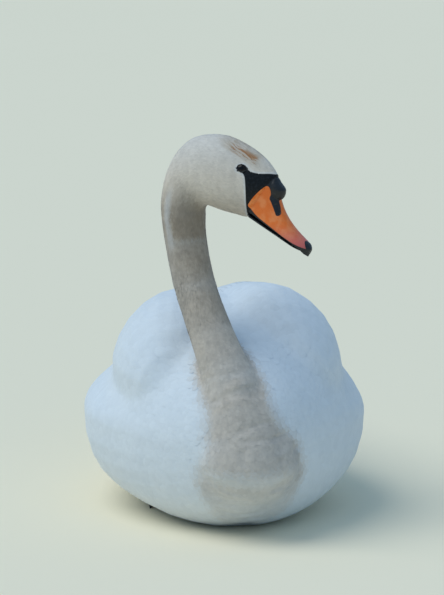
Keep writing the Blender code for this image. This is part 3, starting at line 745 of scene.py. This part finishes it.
class Places:
    """What kind of place each point on the bird is."""

    def __init__(self, points):
        self.points = points
        self.reach, gap, self.ways, radius = along_line(points)
        self.off_neck = gap - radius
        self.ahead, self.up, self.side = on_head(points)
        on_neck = ease(0.0065, 0.0015, self.off_neck) * (self.reach > LINE_REACH[6])
        self.neck = np.maximum(on_neck, (self.reach < LINE_REACH[8]) * (gap < 0.09))
        self.wing = ease(0.005, 0.0015, off_wing(points)) * (1 - self.neck)
        self.bare = bare_skin(self.ahead, self.up)
        on_face = (np.abs(self.ahead) < 0.1) & (np.abs(self.side) < 0.05) & (self.up > -0.12)
        self.bare = np.where(on_face & (self.neck > 0.5), self.bare, -0.05)
        self.bill = on_face & (bill_edge(self.ahead, self.up) > 0) & (self.ahead > -0.01)

    def depth(self):
        """How deep the coat is."""
        head = HEAD_DEPTH * np.clip(-self.bare / 0.012, 0.15, 1.0)
        down_neck = ease(LINE_REACH[5], LINE_REACH[9], self.reach)
        base = ease(SHOULDER_REACH, LINE_REACH[-3], self.reach)
        neck = head + (NECK_DEPTH - head) * down_neck + (TRUNK_DEPTH - NECK_DEPTH) * base * 0.4
        trunk = NECK_DEPTH + (TRUNK_DEPTH - NECK_DEPTH) * ease(0.0, 0.05, self.off_neck)
        y = self.points[:, 1]
        folded = np.maximum(wing_section(y, 1)[0] * 0.45, 0.0006)
        large = np.minimum(0.0042 * ease(0.04, 0.15, y), folded) * self.wing
        return neck + (trunk - neck) * (1 - self.neck) + large

    def spacing(self):
        """How far apart the feathers grow."""
        face = 0.001 + np.clip(-self.bare, 0, 0.03) * 0.018
        down = [LINE_REACH[3], LINE_REACH[6], LINE_REACH[9], SHOULDER_REACH, LINE_REACH[-4], LINE_REACH[-1]]
        neck = np.interp(self.reach, down, [0.0013, 0.0015, 0.0017, 0.0022, 0.003, 0.0036])
        neck = np.where(self.reach < LINE_REACH[5], np.minimum(face, neck), neck)
        y = self.points[:, 1]
        body = np.interp(y, [-0.24, -0.12, 0.05, 0.37], [0.004, 0.005, 0.0062, 0.007])
        body = body * (0.75 + 0.25 * ease(0.0, 0.05, self.off_neck))
        return neck * self.neck + body * (1 - self.neck)


def bill_edge(ahead, up):
    """How far ahead of the line where the bill starts."""
    return (ahead - 0.0365) * BILL_EDGE_WAY[0] + (up + 0.007) * BILL_EDGE_WAY[1]


def stain_of(places):
    """How much of the neck's warm grey shows: most of it down the neck, less on the crown and breast, and
    less in a painted highlight down the neck's sides.
    """
    stops = [0.0, LINE_REACH[5], LINE_REACH[8], SHOULDER_REACH - 0.05, SHOULDER_REACH, LINE_REACH[-3]]
    down = np.interp(places.reach, stops, [0.9, 0.9, 1.0, 0.95, 0.85, 0.7])
    crown = ease(-0.02, 0.03, places.up) * (places.reach < LINE_REACH[6])
    # pale: a lighter strip down each side of the neck toward the back, a painted highlight where light
    # catches the edge of the feathers.
    bend = np.interp(places.up, [-0.085, -0.062, -0.04, -0.02], [-0.0945, -0.099, -0.0955, -0.088])
    pale = ease(0.008, 0.001, np.abs(places.ahead - bend)) * ease(-0.105, -0.075, places.up)
    pale = pale * ease(-0.015, -0.04, places.up)
    blended = np.where(places.reach < LINE_REACH[7], places.neck, ease(0.007, -0.002, places.off_neck))
    sunk = ease(0.015, 0.11, places.points[:, 2])
    return blended * down * (0.25 + 0.75 * sunk) * (1 - 0.25 * crown) * (1 - 0.32 * pale)


def clumps(places):
    """A pattern of streaks down the neck, from 0 to 1, for the tones of neighbouring feathers."""
    found = np.empty(len(places.points))
    for i, (across, reach) in enumerate(zip(places.side.tolist(), places.reach.tolist())):
        found[i] = noise.noise(Vector((across * 320, reach * 55, places.ahead[i] * 160)))
    return np.clip(0.5 + 0.8 * found, 0, 1)


def throat_stain_and_shade_of(places):
    """How dark the hollow under the head is: the real warm-grey stain there, made darker with painted shade
    under the jaw and down the top of the neck.
    """
    off = np.hypot((places.ahead + 0.073) / 0.028, (places.up + 0.062) / 0.046)
    hollow = ease(1.35, 0.2, off) * ease(-0.13, -0.1, places.up)
    down = ease(LINE_REACH[7] - 0.02, LINE_REACH[8], places.reach)
    down = down * ease(SHOULDER_REACH, LINE_REACH[9], places.reach)
    return np.maximum(hollow, 0.4 * down * places.neck)


def flow(points, places):
    """The way the feathers point: down the head and neck, then spreading over the trunk to the tail."""
    low = (points[:, 2:] - 0.1) / 0.12
    source = np.array((-0.012, -0.15, 0.215)) + (1 - np.clip(low, 0, 1)) * np.array((0.01, 0.02, 0.0))
    from_neck = points - source
    early = np.exp(-np.linalg.norm(from_neck, axis=1) / 0.11)[:, None]
    to_tail = unit(np.array((0.0, 0.62, 0.1)) - points)
    body = unit(unit(from_neck) * early * 1.6 + to_tail * (1.15 - early))
    share = np.maximum(places.neck, ease(0.012, 0.0, places.off_neck) * 0.9)[:, None]
    return unit(places.ways * share + body * (1 - share))


# ---- feathers

class Vane:
    """The shape that a feather is made from: a grid of points from quill to tip, closer at the tip."""

    def __init__(self, rows, columns, base, full, crowded=1.0, pointed=1.0):
        bm = bmesh.new()
        bmesh.ops.create_grid(bm, x_segments=columns, y_segments=rows, size=1.0)
        bmesh.ops.pointmerge(bm, verts=[v for v in bm.verts if v.co.y > 0.999], merge_co=(0, 1, 0))
        bm.verts.index_update()
        self.along = 1 - (1 - np.array([(vertex.co.y + 1) / 2 for vertex in bm.verts])) ** crowded
        self.across = np.array([vertex.co.x for vertex in bm.verts])
        self.corners = np.array([vertex.index for face in bm.faces for vertex in face.verts])
        self.sizes = np.array([len(face.verts) for face in bm.faces])
        bm.free()
        widening = base + (1 - base) * ease(0, full, self.along)
        rounding = np.sqrt(np.clip(1 - (np.clip(self.along - full, 0, 1) / (1 - full)) ** 2, 0, 1))
        self.wide = np.minimum(widening, rounding ** pointed)


TUFT = Vane(3, 2, 0.5, 0.25, 1.0, 2.0)
CONTOUR = Vane(6, 4, 0.35, 0.5, 1.5, 1.2)
LARGE = Vane(9, 6, 0.35, 0.7, 1.7)
QUILL = Vane(12, 6, 0.5, 0.8, 1.6)


def scatter(surface, chosen, spacing):
    """Roots spread evenly over the chosen quads, as places and normals."""
    density = surface.areas[chosen] / spacing ** 2
    count = int(4.5 * density.sum())
    pick = random.choice(len(chosen), count, p=density / density.sum())
    u, v = random.random((2, count))
    weights = np.stack([(1 - u) * (1 - v), u * (1 - v), u * v, (1 - u) * v], 1)[..., None]
    quads = surface.quads[chosen[pick]]
    points = (surface.points[quads] * weights).sum(1)
    normals = unit((surface.normals[quads] * weights).sum(1))
    tree = KDTree(count)
    for i, point in enumerate(points.tolist()):
        tree.insert(point, i)
    tree.balance()
    gone = np.zeros(count, bool)
    kept = []
    reach = spacing[pick]
    for i in range(count):
        if gone[i]:
            continue
        kept.append(i)
        for _, j, _ in tree.find_range(points[i], reach[i]):
            gone[j] = True
    return points[kept], normals[kept], reach[kept]


def walk(surface, roots, normals, lengths, turns):
    """Each shaft's places and normals, from its root over the surface along the flow of the coat."""
    places, ups = [roots], [normals]
    for _ in range(SHAFT_STEPS):
        here, up = places[-1], ups[-1]
        way = flow(here, Places(here))
        way = unit(way - up * dots(way, up))
        way = way * np.cos(turns)[:, None] + np.cross(up, way) * np.sin(turns)[:, None]
        place, normal = surface.nearest(here + way * (lengths / SHAFT_STEPS)[:, None])
        places.append(place)
        ups.append(normal)
    return np.stack(places, 1), np.stack(ups, 1)


def between(rows, shares):
    """Values at shares of the way along rows of places, for each feather."""
    steps = rows.shape[1] - 1
    first = np.minimum((shares * steps).astype(int), steps - 1)
    part = (shares * steps - first)[:, None]
    return rows[:, first] * (1 - part) + rows[:, first + 1] * part


def feather_mesh(name, vane, points, patches, attributes):
    """Joins feathers, given as points of feather by corner of the vane, into one mesh with its map."""
    count, each = points.shape[:2]
    points[..., 2] = np.maximum(points[..., 2], FLOOR_GAP)
    mesh = bpy.data.meshes.new(name)
    corners = (np.arange(count)[:, None] * each + vane.corners).ravel()
    sizes = np.tile(vane.sizes, count)
    mesh.vertices.add(count * each)
    mesh.vertices.foreach_set("co", points.astype(np.float32).ravel())
    mesh.loops.add(len(corners))
    mesh.loops.foreach_set("vertex_index", corners.astype(np.int32))
    mesh.polygons.add(len(sizes))
    mesh.polygons.foreach_set("loop_start", (np.cumsum(sizes) - sizes).astype(np.int32))
    mesh.polygons.foreach_set("use_smooth", np.ones(len(sizes), bool))
    mesh.update(calc_edges=True)
    mesh.validate()
    write_attributes(mesh, {"along": np.tile(vane.along, count), "across": np.tile(vane.across, count)})
    write_attributes(mesh, {key: np.repeat(value, each) for key, value in attributes.items()})
    patch = np.stack([vane.across / 2, vane.along - 0.5], 1) * PATCH
    places = (patches[:, None] + patch).reshape(-1, 2)
    mesh.uv_layers.new(name="OFBake").data.foreach_set("uv", places[corners].astype(np.float32).ravel())
    return added(name, mesh)


def patch_places(roots):
    """Where each root lies on an unwrap of the bird's own shape: round it, and down it."""
    places = Places(roots)
    centre = np.array((0.0, 0.05, 0.12))
    off = (roots - centre) / np.array((0.17, 0.33, 0.12))
    body = np.stack([np.arctan2(off[:, 0], off[:, 2]) / (2 * math.pi) + 0.5,
                     np.arccos(np.clip(-unit(off)[:, 1], -1, 1)) / math.pi], 1)
    toward = np.stack([np.interp(places.reach, LINE_REACH, BIRD_LINE[:, k]) for k in range(3)], 1)
    off = roots - toward
    side = dots(off, TO_RIGHT)[:, 0]
    back = dots(np.cross(places.ways, TO_RIGHT), off)[:, 0]
    neck = np.stack([np.arctan2(side, back) / (2 * math.pi) + 0.5, places.reach / LINE_REACH[-1]], 1)
    found = np.where(places.neck[:, None] > 0.5, neck, body)
    low, high = found.min(0), found.max(0)
    return 0.004 + 0.992 * (found - low) / np.maximum(high - low, 1e-6)


def lay(name, surface, finish, slot, roots, normals, spacing, vane, long, wide, arch, loose):
    """A piece of the coat. Long and wide are a feather's size as shares of the space between roots."""
    count = len(roots)
    lengths = spacing * long * random.uniform(0.85, 1.12, count)
    widths = spacing * wide * random.uniform(0.85, 1.15, count)
    turns = random.normal(0, 0.09, count)
    shafts, ups = walk(surface, roots, normals, lengths, turns)
    for _ in range(4):
        over = np.flatnonzero(Places(shafts[:, -1]).bare > -0.0002)
        if len(over):
            lengths[over] *= SHORTER
            widths[over] *= NARROWER
            shafts[over], ups[over] = walk(surface, roots[over], normals[over], lengths[over], turns[over])
    kept = lengths > spacing * long * SHORTEST
    roots, lengths, widths, shafts, ups = roots[kept], lengths[kept], widths[kept], shafts[kept], ups[kept]
    count = len(roots)
    grown = Places(roots)
    line = between(shafts, vane.along)
    up = unit(between(ups, vane.along))
    onward = np.concatenate([shafts, 2 * shafts[:, -1:] - shafts[:, -2:-1]], 1)
    across = unit(np.cross(unit(between(np.diff(onward, axis=1), vane.along)), up))
    deep = grown.depth()[:, None]
    sunk = 0.9 if vane is TUFT else 0.65
    lift = deep * (-sunk * (1 - vane.along) ** 1.8 - random.uniform(0, 0.03, count)[:, None])
    lift = lift + (random.random(count) ** 4 * loose)[:, None] * vane.along ** 2
    offset = widths[:, None] / 2 * vane.wide * vane.across
    lift = lift + (arch * widths)[:, None] * vane.wide * (1 - vane.across ** 2) - offset ** 2 * DRAPE
    lain, _ = surface.nearest((line + across * offset[..., None]).reshape(-1, 3))
    points = lain.reshape(line.shape) + up * lift[..., None]
    tone = 0.5 * random.random(count) + 0.5 * clumps(grown)
    attributes = {"tone": tone, "stain": stain_of(grown), "throat_stain_and_shade": throat_stain_and_shade_of(grown)}
    obj = feather_mesh(name, vane, points, patch_places(roots), attributes)
    return dress(obj, finish, slot)


def thicken(obj, thickness, offset):
    """Makes a thin piece solid: to its middle with an offset of 0, or inward with -1."""
    modifier = obj.modifiers.new("thickness", "SOLIDIFY")
    modifier.thickness = thickness
    modifier.offset = offset


def dress(obj, finish, slot, *replaced):
    """Gives a piece its material, and lets it ride on the bird's body. The slot is not used."""
    obj.data.materials.append(finish)
    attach(obj, "root")
    if replaced:
        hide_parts(*replaced)
    return obj


def make_coats(form):
    """The small feathers over the whole bird."""
    finish = plumage("small_feathers", 0.00003, 60)
    places = Places(form.centres)
    spacing = places.spacing()
    free = (places.bare < -0.0003) & ~places.bill
    neck = places.neck > 0.5
    body = ~neck & (form.centres[:, 1] < COAT_END)
    for grows, slot in ((neck & free, "neck_plumage"), (body & free, "plumage")):
        chosen = np.flatnonzero(grows)
        roots, normals, gaps = scatter(form, chosen, spacing[chosen])
        for name, coat, where, *shape in regions_of(Places(roots), roots):
            if coat == slot:
                lay(name, form, finish, slot, roots[where], normals[where], gaps[where], *shape)


def regions_of(places, roots):
    """Each piece of the coat: its name and slot, which roots are in it, its vane, how long and wide its
    feathers are, how they arch, and how far a loose one stands out."""
    reach, y, z = places.reach, roots[:, 1], roots[:, 2]
    wing = (places.wing > 0.5) & ((np.abs(roots[:, 0]) > 0.022) | (y < 0.1))
    trunk = ~wing & (y >= -0.06)
    head, neck, base = LINE_REACH[5], LINE_REACH[8], LINE_REACH[10]
    nape = (reach >= head) & (reach < neck)
    down_neck = (reach >= neck) & (reach < base)
    return (
        ("head_feathers", "neck_plumage", reach < head, TUFT, 5.6, 2.4, 0.02, 0.0003),
        ("nape_feathers", "neck_plumage", nape, TUFT, 6.0, 2.5, 0.02, 0.0003),
        ("neck_feathers", "neck_plumage", down_neck, TUFT, 6.0, 2.5, 0.02, 0.0003),
        ("neck_base_feathers", "neck_plumage", reach >= base, CONTOUR, 5.4, 2.9, 0.01, 0.0),
        ("breast_feathers", "plumage", ~wing & (y < -0.06), CONTOUR, 4.8, 2.8, 0.01, 0.0),
        ("flank_and_belly_feathers", "plumage", trunk & (z < 0.12), CONTOUR, 4.8, 2.8, 0.012, 0.0),
        ("back_and_rump_feathers", "plumage", trunk & (z >= 0.12), CONTOUR, 4.8, 2.8, 0.012, 0.0),
        ("wing_coverts", "plumage", wing & (y < 0.12), CONTOUR, 4.8, 3.0, 0.012, 0.0),
    )


# ---- skin

def make_skin(form, seats):
    """One skin under the whole coat, bare and black between the eyes and the bill."""
    places = Places(form.points)
    depth = places.depth()
    face = places.neck * (places.bare > -0.003)
    depth = np.where(face > 0.5, depth * ease(0.0, -0.003, places.bare), depth)
    past = np.where(places.bill, bill_edge(places.ahead, places.up), 0)
    depth = depth + ease(0.0003, 0.002, past) * 0.0012
    for ball, out, ahead, up in seats.values():
        off = form.points - ball
        wide = np.hypot(off @ ahead / EYE_OPEN[0], off @ up / EYE_OPEN[1])
        over_ball = (off @ out > 0) & (np.linalg.norm(off, axis=1) < 0.01)
        depth = depth + ease(1.3, 1.0, wide) * over_ball * 0.003
    points = form.points - form.normals * depth[:, None]
    pressed = np.maximum(past - 0.0025, 0)[:, None]
    points -= pressed * (TO_FRONT * BILL_EDGE_WAY[0] + Z * BILL_EDGE_WAY[1])
    middle = head_point(0.019, -0.032)
    points += (middle - points) * (ease(0, 0.002, pressed) * 0.22)
    points[:, 1] -= 0.88 * np.maximum(points[:, 1] - SKIN_END, 0)
    bm = bmesh_of(points, form.quads)
    near = places.neck * (places.bare > -0.004) > 0.5
    edges = [edge for edge in bm.edges if near[edge.verts[0].index] and near[edge.verts[1].index]]
    bmesh.ops.subdivide_edges(bm, edges=edges, cuts=2, use_grid_fill=True)
    bmesh.ops.triangulate(bm, faces=[face for face in bm.faces if len(face.verts) > 4])
    new = bm.verts[:][len(near):]
    for _ in range(3):
        bmesh.ops.smooth_vert(bm, verts=new, factor=0.5, use_axis_x=True, use_axis_y=True, use_axis_z=True)
    for vertex in bm.verts:
        vertex.co.z = max(vertex.co.z, FLOOR_GAP)
    obj = object_of("skin", bm)
    found = Places(points_of(obj.data))
    same = np.ones(len(found.points))
    # An along of 0.4 gives the skin part of the feathers' painted root shade.
    write_attributes(obj.data, {"stain": stain_of(found), "throat_stain_and_shade": throat_stain_and_shade_of(found), "along": same * 0.4,
                                "tone": same * 0.5})
    return dress(obj, skin_finish(), "plumage", *FLESH)


# ---- bill, eyes and feet

def make_bill():
    """The upper and lower bill, with nostrils and a nail."""
    finish = bill_finish()
    for name, piece, slot in (("bill_upper", "upper_bill", "bill_orange"),
                              ("bill_lower", "lower_bill", "bill_black")):
        surface = Surface(merged(name), BILL_VOXEL, 8)
        ahead, up, side = on_head(surface.points)
        if name == "bill_upper":
            slot_off = from_stretch(ahead, up, (0.0388, -0.042), (0.0426, -0.0505))
            hollow = ease(0.0021, 0.0006, slot_off) * 0.0016 * (np.abs(side) > 0.002)
            surface.points -= TO_RIGHT * (np.sign(side) * hollow)[:, None]
            nail = ease(0.0004, -0.0006, before_nail(ahead, up, side)) * 0.0004
            surface.points += surface.normals * nail[:, None]
            past_root = np.maximum(ahead - KNOB_ROOT, 0) * ease(-0.025, -0.015, up)
            surface.points -= TO_FRONT * (past_root * KNOB_TRIM)[:, None]
        dress(surface.object(piece), finish, slot, name)


def facing(place, way):
    """The matrix that moves a shape to a place and turns its own up to a way."""
    return Matrix.Translation(place) @ way.to_track_quat("Z", "Y").to_matrix().to_4x4()


def make_eyes(seats):
    """Each eyeball, and the ring of black lid skin round it."""
    lid_paint = Paint("eyelid_skin", specular_ior_level=0.5)
    folds = lid_paint.noise(900.0, 2.0)
    lid_paint.bump(folds, 0.0002, 0.6)
    lid_finish = lid_paint.finish(lid_paint.blend(folds, BLACK, (0.018, 0.021, 0.025)), 0.35 + folds * 0.1)
    for name, (centre, outward, to_front, upward) in seats.items():
        bm = bmesh.new()
        bmesh.ops.create_uvsphere(bm, u_segments=48, v_segments=32, radius=EYE_RADIUS,
                                  matrix=facing(Vector(centre), Vector(outward)))
        ball_finish = eye_finish("dark_eye_" + name, centre, outward)
        dress(object_of("eyeball_" + name, bm), ball_finish, "eye", "eye_" + name)
        bm = bmesh.new()
        bmesh.ops.create_grid(bm, x_segments=72, y_segments=10, size=1.0)
        for vertex in bm.verts:
            along, high = math.cos(math.pi * vertex.co.x), math.sin(math.pi * vertex.co.x)
            share = (vertex.co.y + 1) / 2
            wide = (1 + 0.32 * share) * (1 + 0.16 * max(0.0, along) ** 8)
            flat_ahead, flat_up = EYE_OPEN[0] * along * wide, EYE_OPEN[1] * high * wide
            flat = min(math.hypot(flat_ahead, flat_up), EYE_RADIUS * 0.97)
            out = math.sqrt(EYE_RADIUS ** 2 - flat ** 2) + 0.0001
            out += 0.0006 * math.sin(math.pi * min(1.0, share * 1.25)) - 0.0012 * share ** 4
            vertex.co = Vector(centre + to_front * flat_ahead + upward * flat_up + outward * out)
        bmesh.ops.remove_doubles(bm, verts=bm.verts, dist=0.00002)
        bmesh.ops.recalc_face_normals(bm, faces=bm.faces)
        lid = object_of("eyelid_" + name, bm)
        thicken(lid, LID_THICKNESS, 0)
        dress(lid, lid_finish, "bill_black")


def make_feet():
    """The bare shanks and webbed feet, with a claw over the end of each toe."""
    finish, horn = foot_finish(), claw_finish()
    for name, side in SIDES.items():
        for part in ("leg", "foot"):
            surface = Surface(merged(f"{part}_{name}"), FOOT_VOXEL, 3)
            surface.points[:, 2] = np.maximum(surface.points[:, 2], 0.0)
            dress(surface.object(f"{part}_skin_{name}"), finish, "foot_skin", f"{part}_{name}")
        bm = bmesh.new()
        for angle, length in zip(TOE_ANGLES, TOE_LENGTHS):
            heading = Vector((side * math.sin(angle), -math.cos(angle), -0.02)).normalized()
            middle = Vector((side * TOE_JOINT[0], TOE_JOINT[1], 0.003)) + heading * (length * 0.94)
            bmesh.ops.create_cone(bm, cap_ends=True, segments=14, radius1=0.003, radius2=0.0004,
                                  depth=length * 0.13, matrix=facing(middle, heading))
        for vertex in bm.verts:
            vertex.co.z = max(vertex.co.z, 0.0001)
        dress(object_of("claws_" + name, bm), horn, "foot_skin")


# ---- large feathers

def wing_row(side, vane, starts, ends, turns, tip_turns, width, lifts):
    """A row of large feathers on a folded wing: from and to which y, and at which turns round the wing.
    Each overlaps the next one down."""
    count = len(starts)
    share = vane.along
    y = starts[:, None] + (ends - starts)[:, None] * share
    turn = turns[:, None] + (tip_turns - turns)[:, None] * share
    half, _, _ = wing_section(y, side)
    widths = width * random.uniform(0.92, 1.08, count)
    offset = widths[:, None] / 2 * vane.wide * vane.across
    lift = lifts[0] + (lifts[1] - lifts[0]) * share - vane.across * 0.0014 * vane.wide
    lift = lift + 0.0005 * (1 - vane.across ** 2) + random.uniform(-0.0002, 0.0002, count)[:, None]
    shaft = on_wing(side, y, turn, lift)
    round_wing = on_wing(side, y, turn + offset / np.maximum(half, LEAST_HALF), lift) - shaft
    flatter = np.abs(offset) / np.maximum(np.linalg.norm(round_wing, axis=-1), 1e-5)
    points = shaft + round_wing * np.clip(flatter, 1.0, WIDEST)[..., None]
    for row in np.unique(share):
        row = np.flatnonzero(share == row)
        past_middle = np.maximum(MIDDLE_GAP - side * points[:, row, 0], 0).max(1)
        points[:, row, 0] += side * past_middle[:, None]
    return points


def spread(count, ends, jitter):
    """Numbers from one end to the other, each a little off its place."""
    return np.linspace(*ends, count) + random.uniform(-jitter, jitter, count)


def large_feathers(name, vane, points, patches, finish, *replaced):
    """A piece of large feathers, each with some thickness."""
    count = len(points)
    attributes = {"tone": random.random(count), "stain": np.zeros(count), "throat_stain_and_shade": np.zeros(count)}
    obj = feather_mesh(name, vane, points, patches, attributes)
    thicken(obj, VANE_THICKNESS, -1)
    dress(obj, finish, "plumage", *replaced)


# For each row of a wing: its name and vane, how many feathers it has, where the first and the last one
# start and end along the bird, at which turns round the wing they start and end in degrees, how wide
# they are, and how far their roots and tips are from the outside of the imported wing.
WING_ROWS = (
    ("primaries", QUILL, 10, (0.22, 0.24), (0.37, 0.452), (-38, 44), (22, 62), 0.024, (-0.0062, -0.0046)),
    ("secondaries", QUILL, 17, (0.12, 0.14), (0.245, 0.372), (-50, 60), (-40, 66), 0.025, (-0.0056, -0.0032)),
    ("tertials", QUILL, 9, (0.09, 0.11), (0.275, 0.395), (30, 124), (48, 116), 0.027, (-0.0044, -0.0022)),
    ("greater_coverts", LARGE, 22, (0.07, 0.08), (0.175, 0.262), (-58, 118), (-50, 112), 0.022,
     (-0.004, -0.0016)),
    ("median_coverts", LARGE, 30, (0.05, 0.06), (0.135, 0.185), (-62, 126), (-58, 122), 0.017,
     (-0.0032, -0.0008)),
)


def make_wings():
    """Coverts, tertials, secondaries and primaries of each folded wing."""
    finish = plumage("large_feathers", 0.00008, 150)
    for name, side in SIDES.items():
        for title, vane, count, start, end, turn, tip, wide, lifts in WING_ROWS:
            starts, ends = spread(count, start, 0.003), spread(count, end, 0.004)
            turns = spread(count, np.radians(turn), 0.02)
            tip_turns = spread(count, np.radians(tip), 0.02)
            points = wing_row(side, vane, starts, ends, turns, tip_turns, wide, lifts)
            large_feathers(f"{title}_{name}", vane, points, patch_places(points[:, 0]), finish)


def tail_fan(vane, count, length, width, splay, heights, starts):
    """A fan of feathers from the rump, the middle ones on top. Heights are above the tail's own plane."""
    share = np.linspace(-1, 1, count)
    angle = share * TAIL_SPREAD * splay
    length = length * (1 - 0.42 * share ** 2) * random.uniform(0.97, 1.0, count)
    reach = starts + (1 - starts) * vane.along
    distance = length[:, None] * reach
    offset = width / 2 * vane.wide * vane.across
    x = np.sin(angle)[:, None] * distance + (share * 0.022)[:, None] * (1 - 0.4 * reach)
    x = x + offset * np.cos(angle)[:, None]
    forward = np.cos(angle)[:, None] * distance - offset * np.sin(angle)[:, None]
    order = (1 - np.abs(share))[:, None]
    lift = (order * 0.0042 - 0.0021) * (1 - 0.6 * reach) - 0.012 * (share ** 2)[:, None]
    lift = lift + np.sign(share)[:, None] * vane.across * -0.0008 + 0.0006 * (1 - vane.across ** 2)
    lift = lift + heights[0] + (heights[1] - heights[0]) * reach
    z = math.sin(TAIL_RISE) * forward + lift
    return TAIL_ROOT + np.stack([x, forward * math.cos(TAIL_RISE), z], -1)


def make_tail():
    """The long tail feathers, and the coverts over and under their bases."""
    finish = plumage("tail_vanes", 0.00008, 150)
    # Name, vane, how many, length, width, share of the fan's spread, heights of root and tip over the
    # tail's plane, how far out the vanes start, and the node that is replaced.
    rows = (
        ("tail_feathers", QUILL, 20, TAIL_LENGTH, 0.026, 1.0, (0.0, 0.0), 0.25, ("tail",)),
        ("upper_tail_coverts", LARGE, 17, 0.15, 0.021, 1.05, (0.007, 0.0016), 0.15, ()),
        ("long_upper_tail_coverts", LARGE, 14, 0.185, 0.021, 0.95, (0.005, 0.001), 0.2, ()),
        ("under_tail_coverts", LARGE, 15, 0.165, 0.023, 0.95, (-0.008, -0.0024), 0.15, ()),
    )
    for name, vane, count, length, width, splay, heights, starts, replaced in rows:
        points = tail_fan(vane, count, length, width, splay, heights, starts)
        patches = np.stack([np.linspace(0.1, 0.9, count), np.full(count, 0.5)], 1)
        large_feathers(name, vane, points, patches, finish, *replaced)


# ---- stage

def make_stage():
    """The floor, a soft sky, a large soft sun and the camera."""
    bm = bmesh.new()
    bmesh.ops.create_grid(bm, x_segments=1, y_segments=1, size=40.0)
    floor = object_of("floor", bm)
    floor.data.materials.append(floor_finish())
    scene = bpy.context.scene
    scene.view_settings.view_transform = "Standard"
    scene.world = bpy.data.worlds.new("soft_sky")
    scene.world.use_nodes = True
    sky = scene.world.node_tree.nodes["Background"]
    sky.inputs["Color"].default_value = SKY
    sky.inputs["Strength"].default_value = SKY_STRENGTH
    sun = bpy.data.lights.new("soft_sun", "SUN")
    sun.energy, sun.angle, sun.color = SUN_ENERGY, SUN_SIZE, SUN
    added("soft_sun", sun).rotation_euler = SUN_WAY.to_track_quat("-Z", "Y").to_euler()
    camera = added("camera", bpy.data.cameras.new("camera"))
    level = math.cos(CAMERA_RISE)
    way = Vector((math.sin(CAMERA_TURN) * level, -math.cos(CAMERA_TURN) * level, math.sin(CAMERA_RISE)))
    camera.location = CAMERA_AIM + way * CAMERA_DISTANCE
    camera.rotation_euler = (-way).to_track_quat("-Z", "Y").to_euler()
    camera.data.lens, camera.data.sensor_width = CAMERA_LENS, 36.0
    camera.data.clip_end = 100.0
    scene.camera = camera


form, seats = make_form()
make_skin(form, seats)
make_coats(form)
make_wings()
make_tail()
make_bill()
make_eyes(seats)
make_feet()
make_stage()
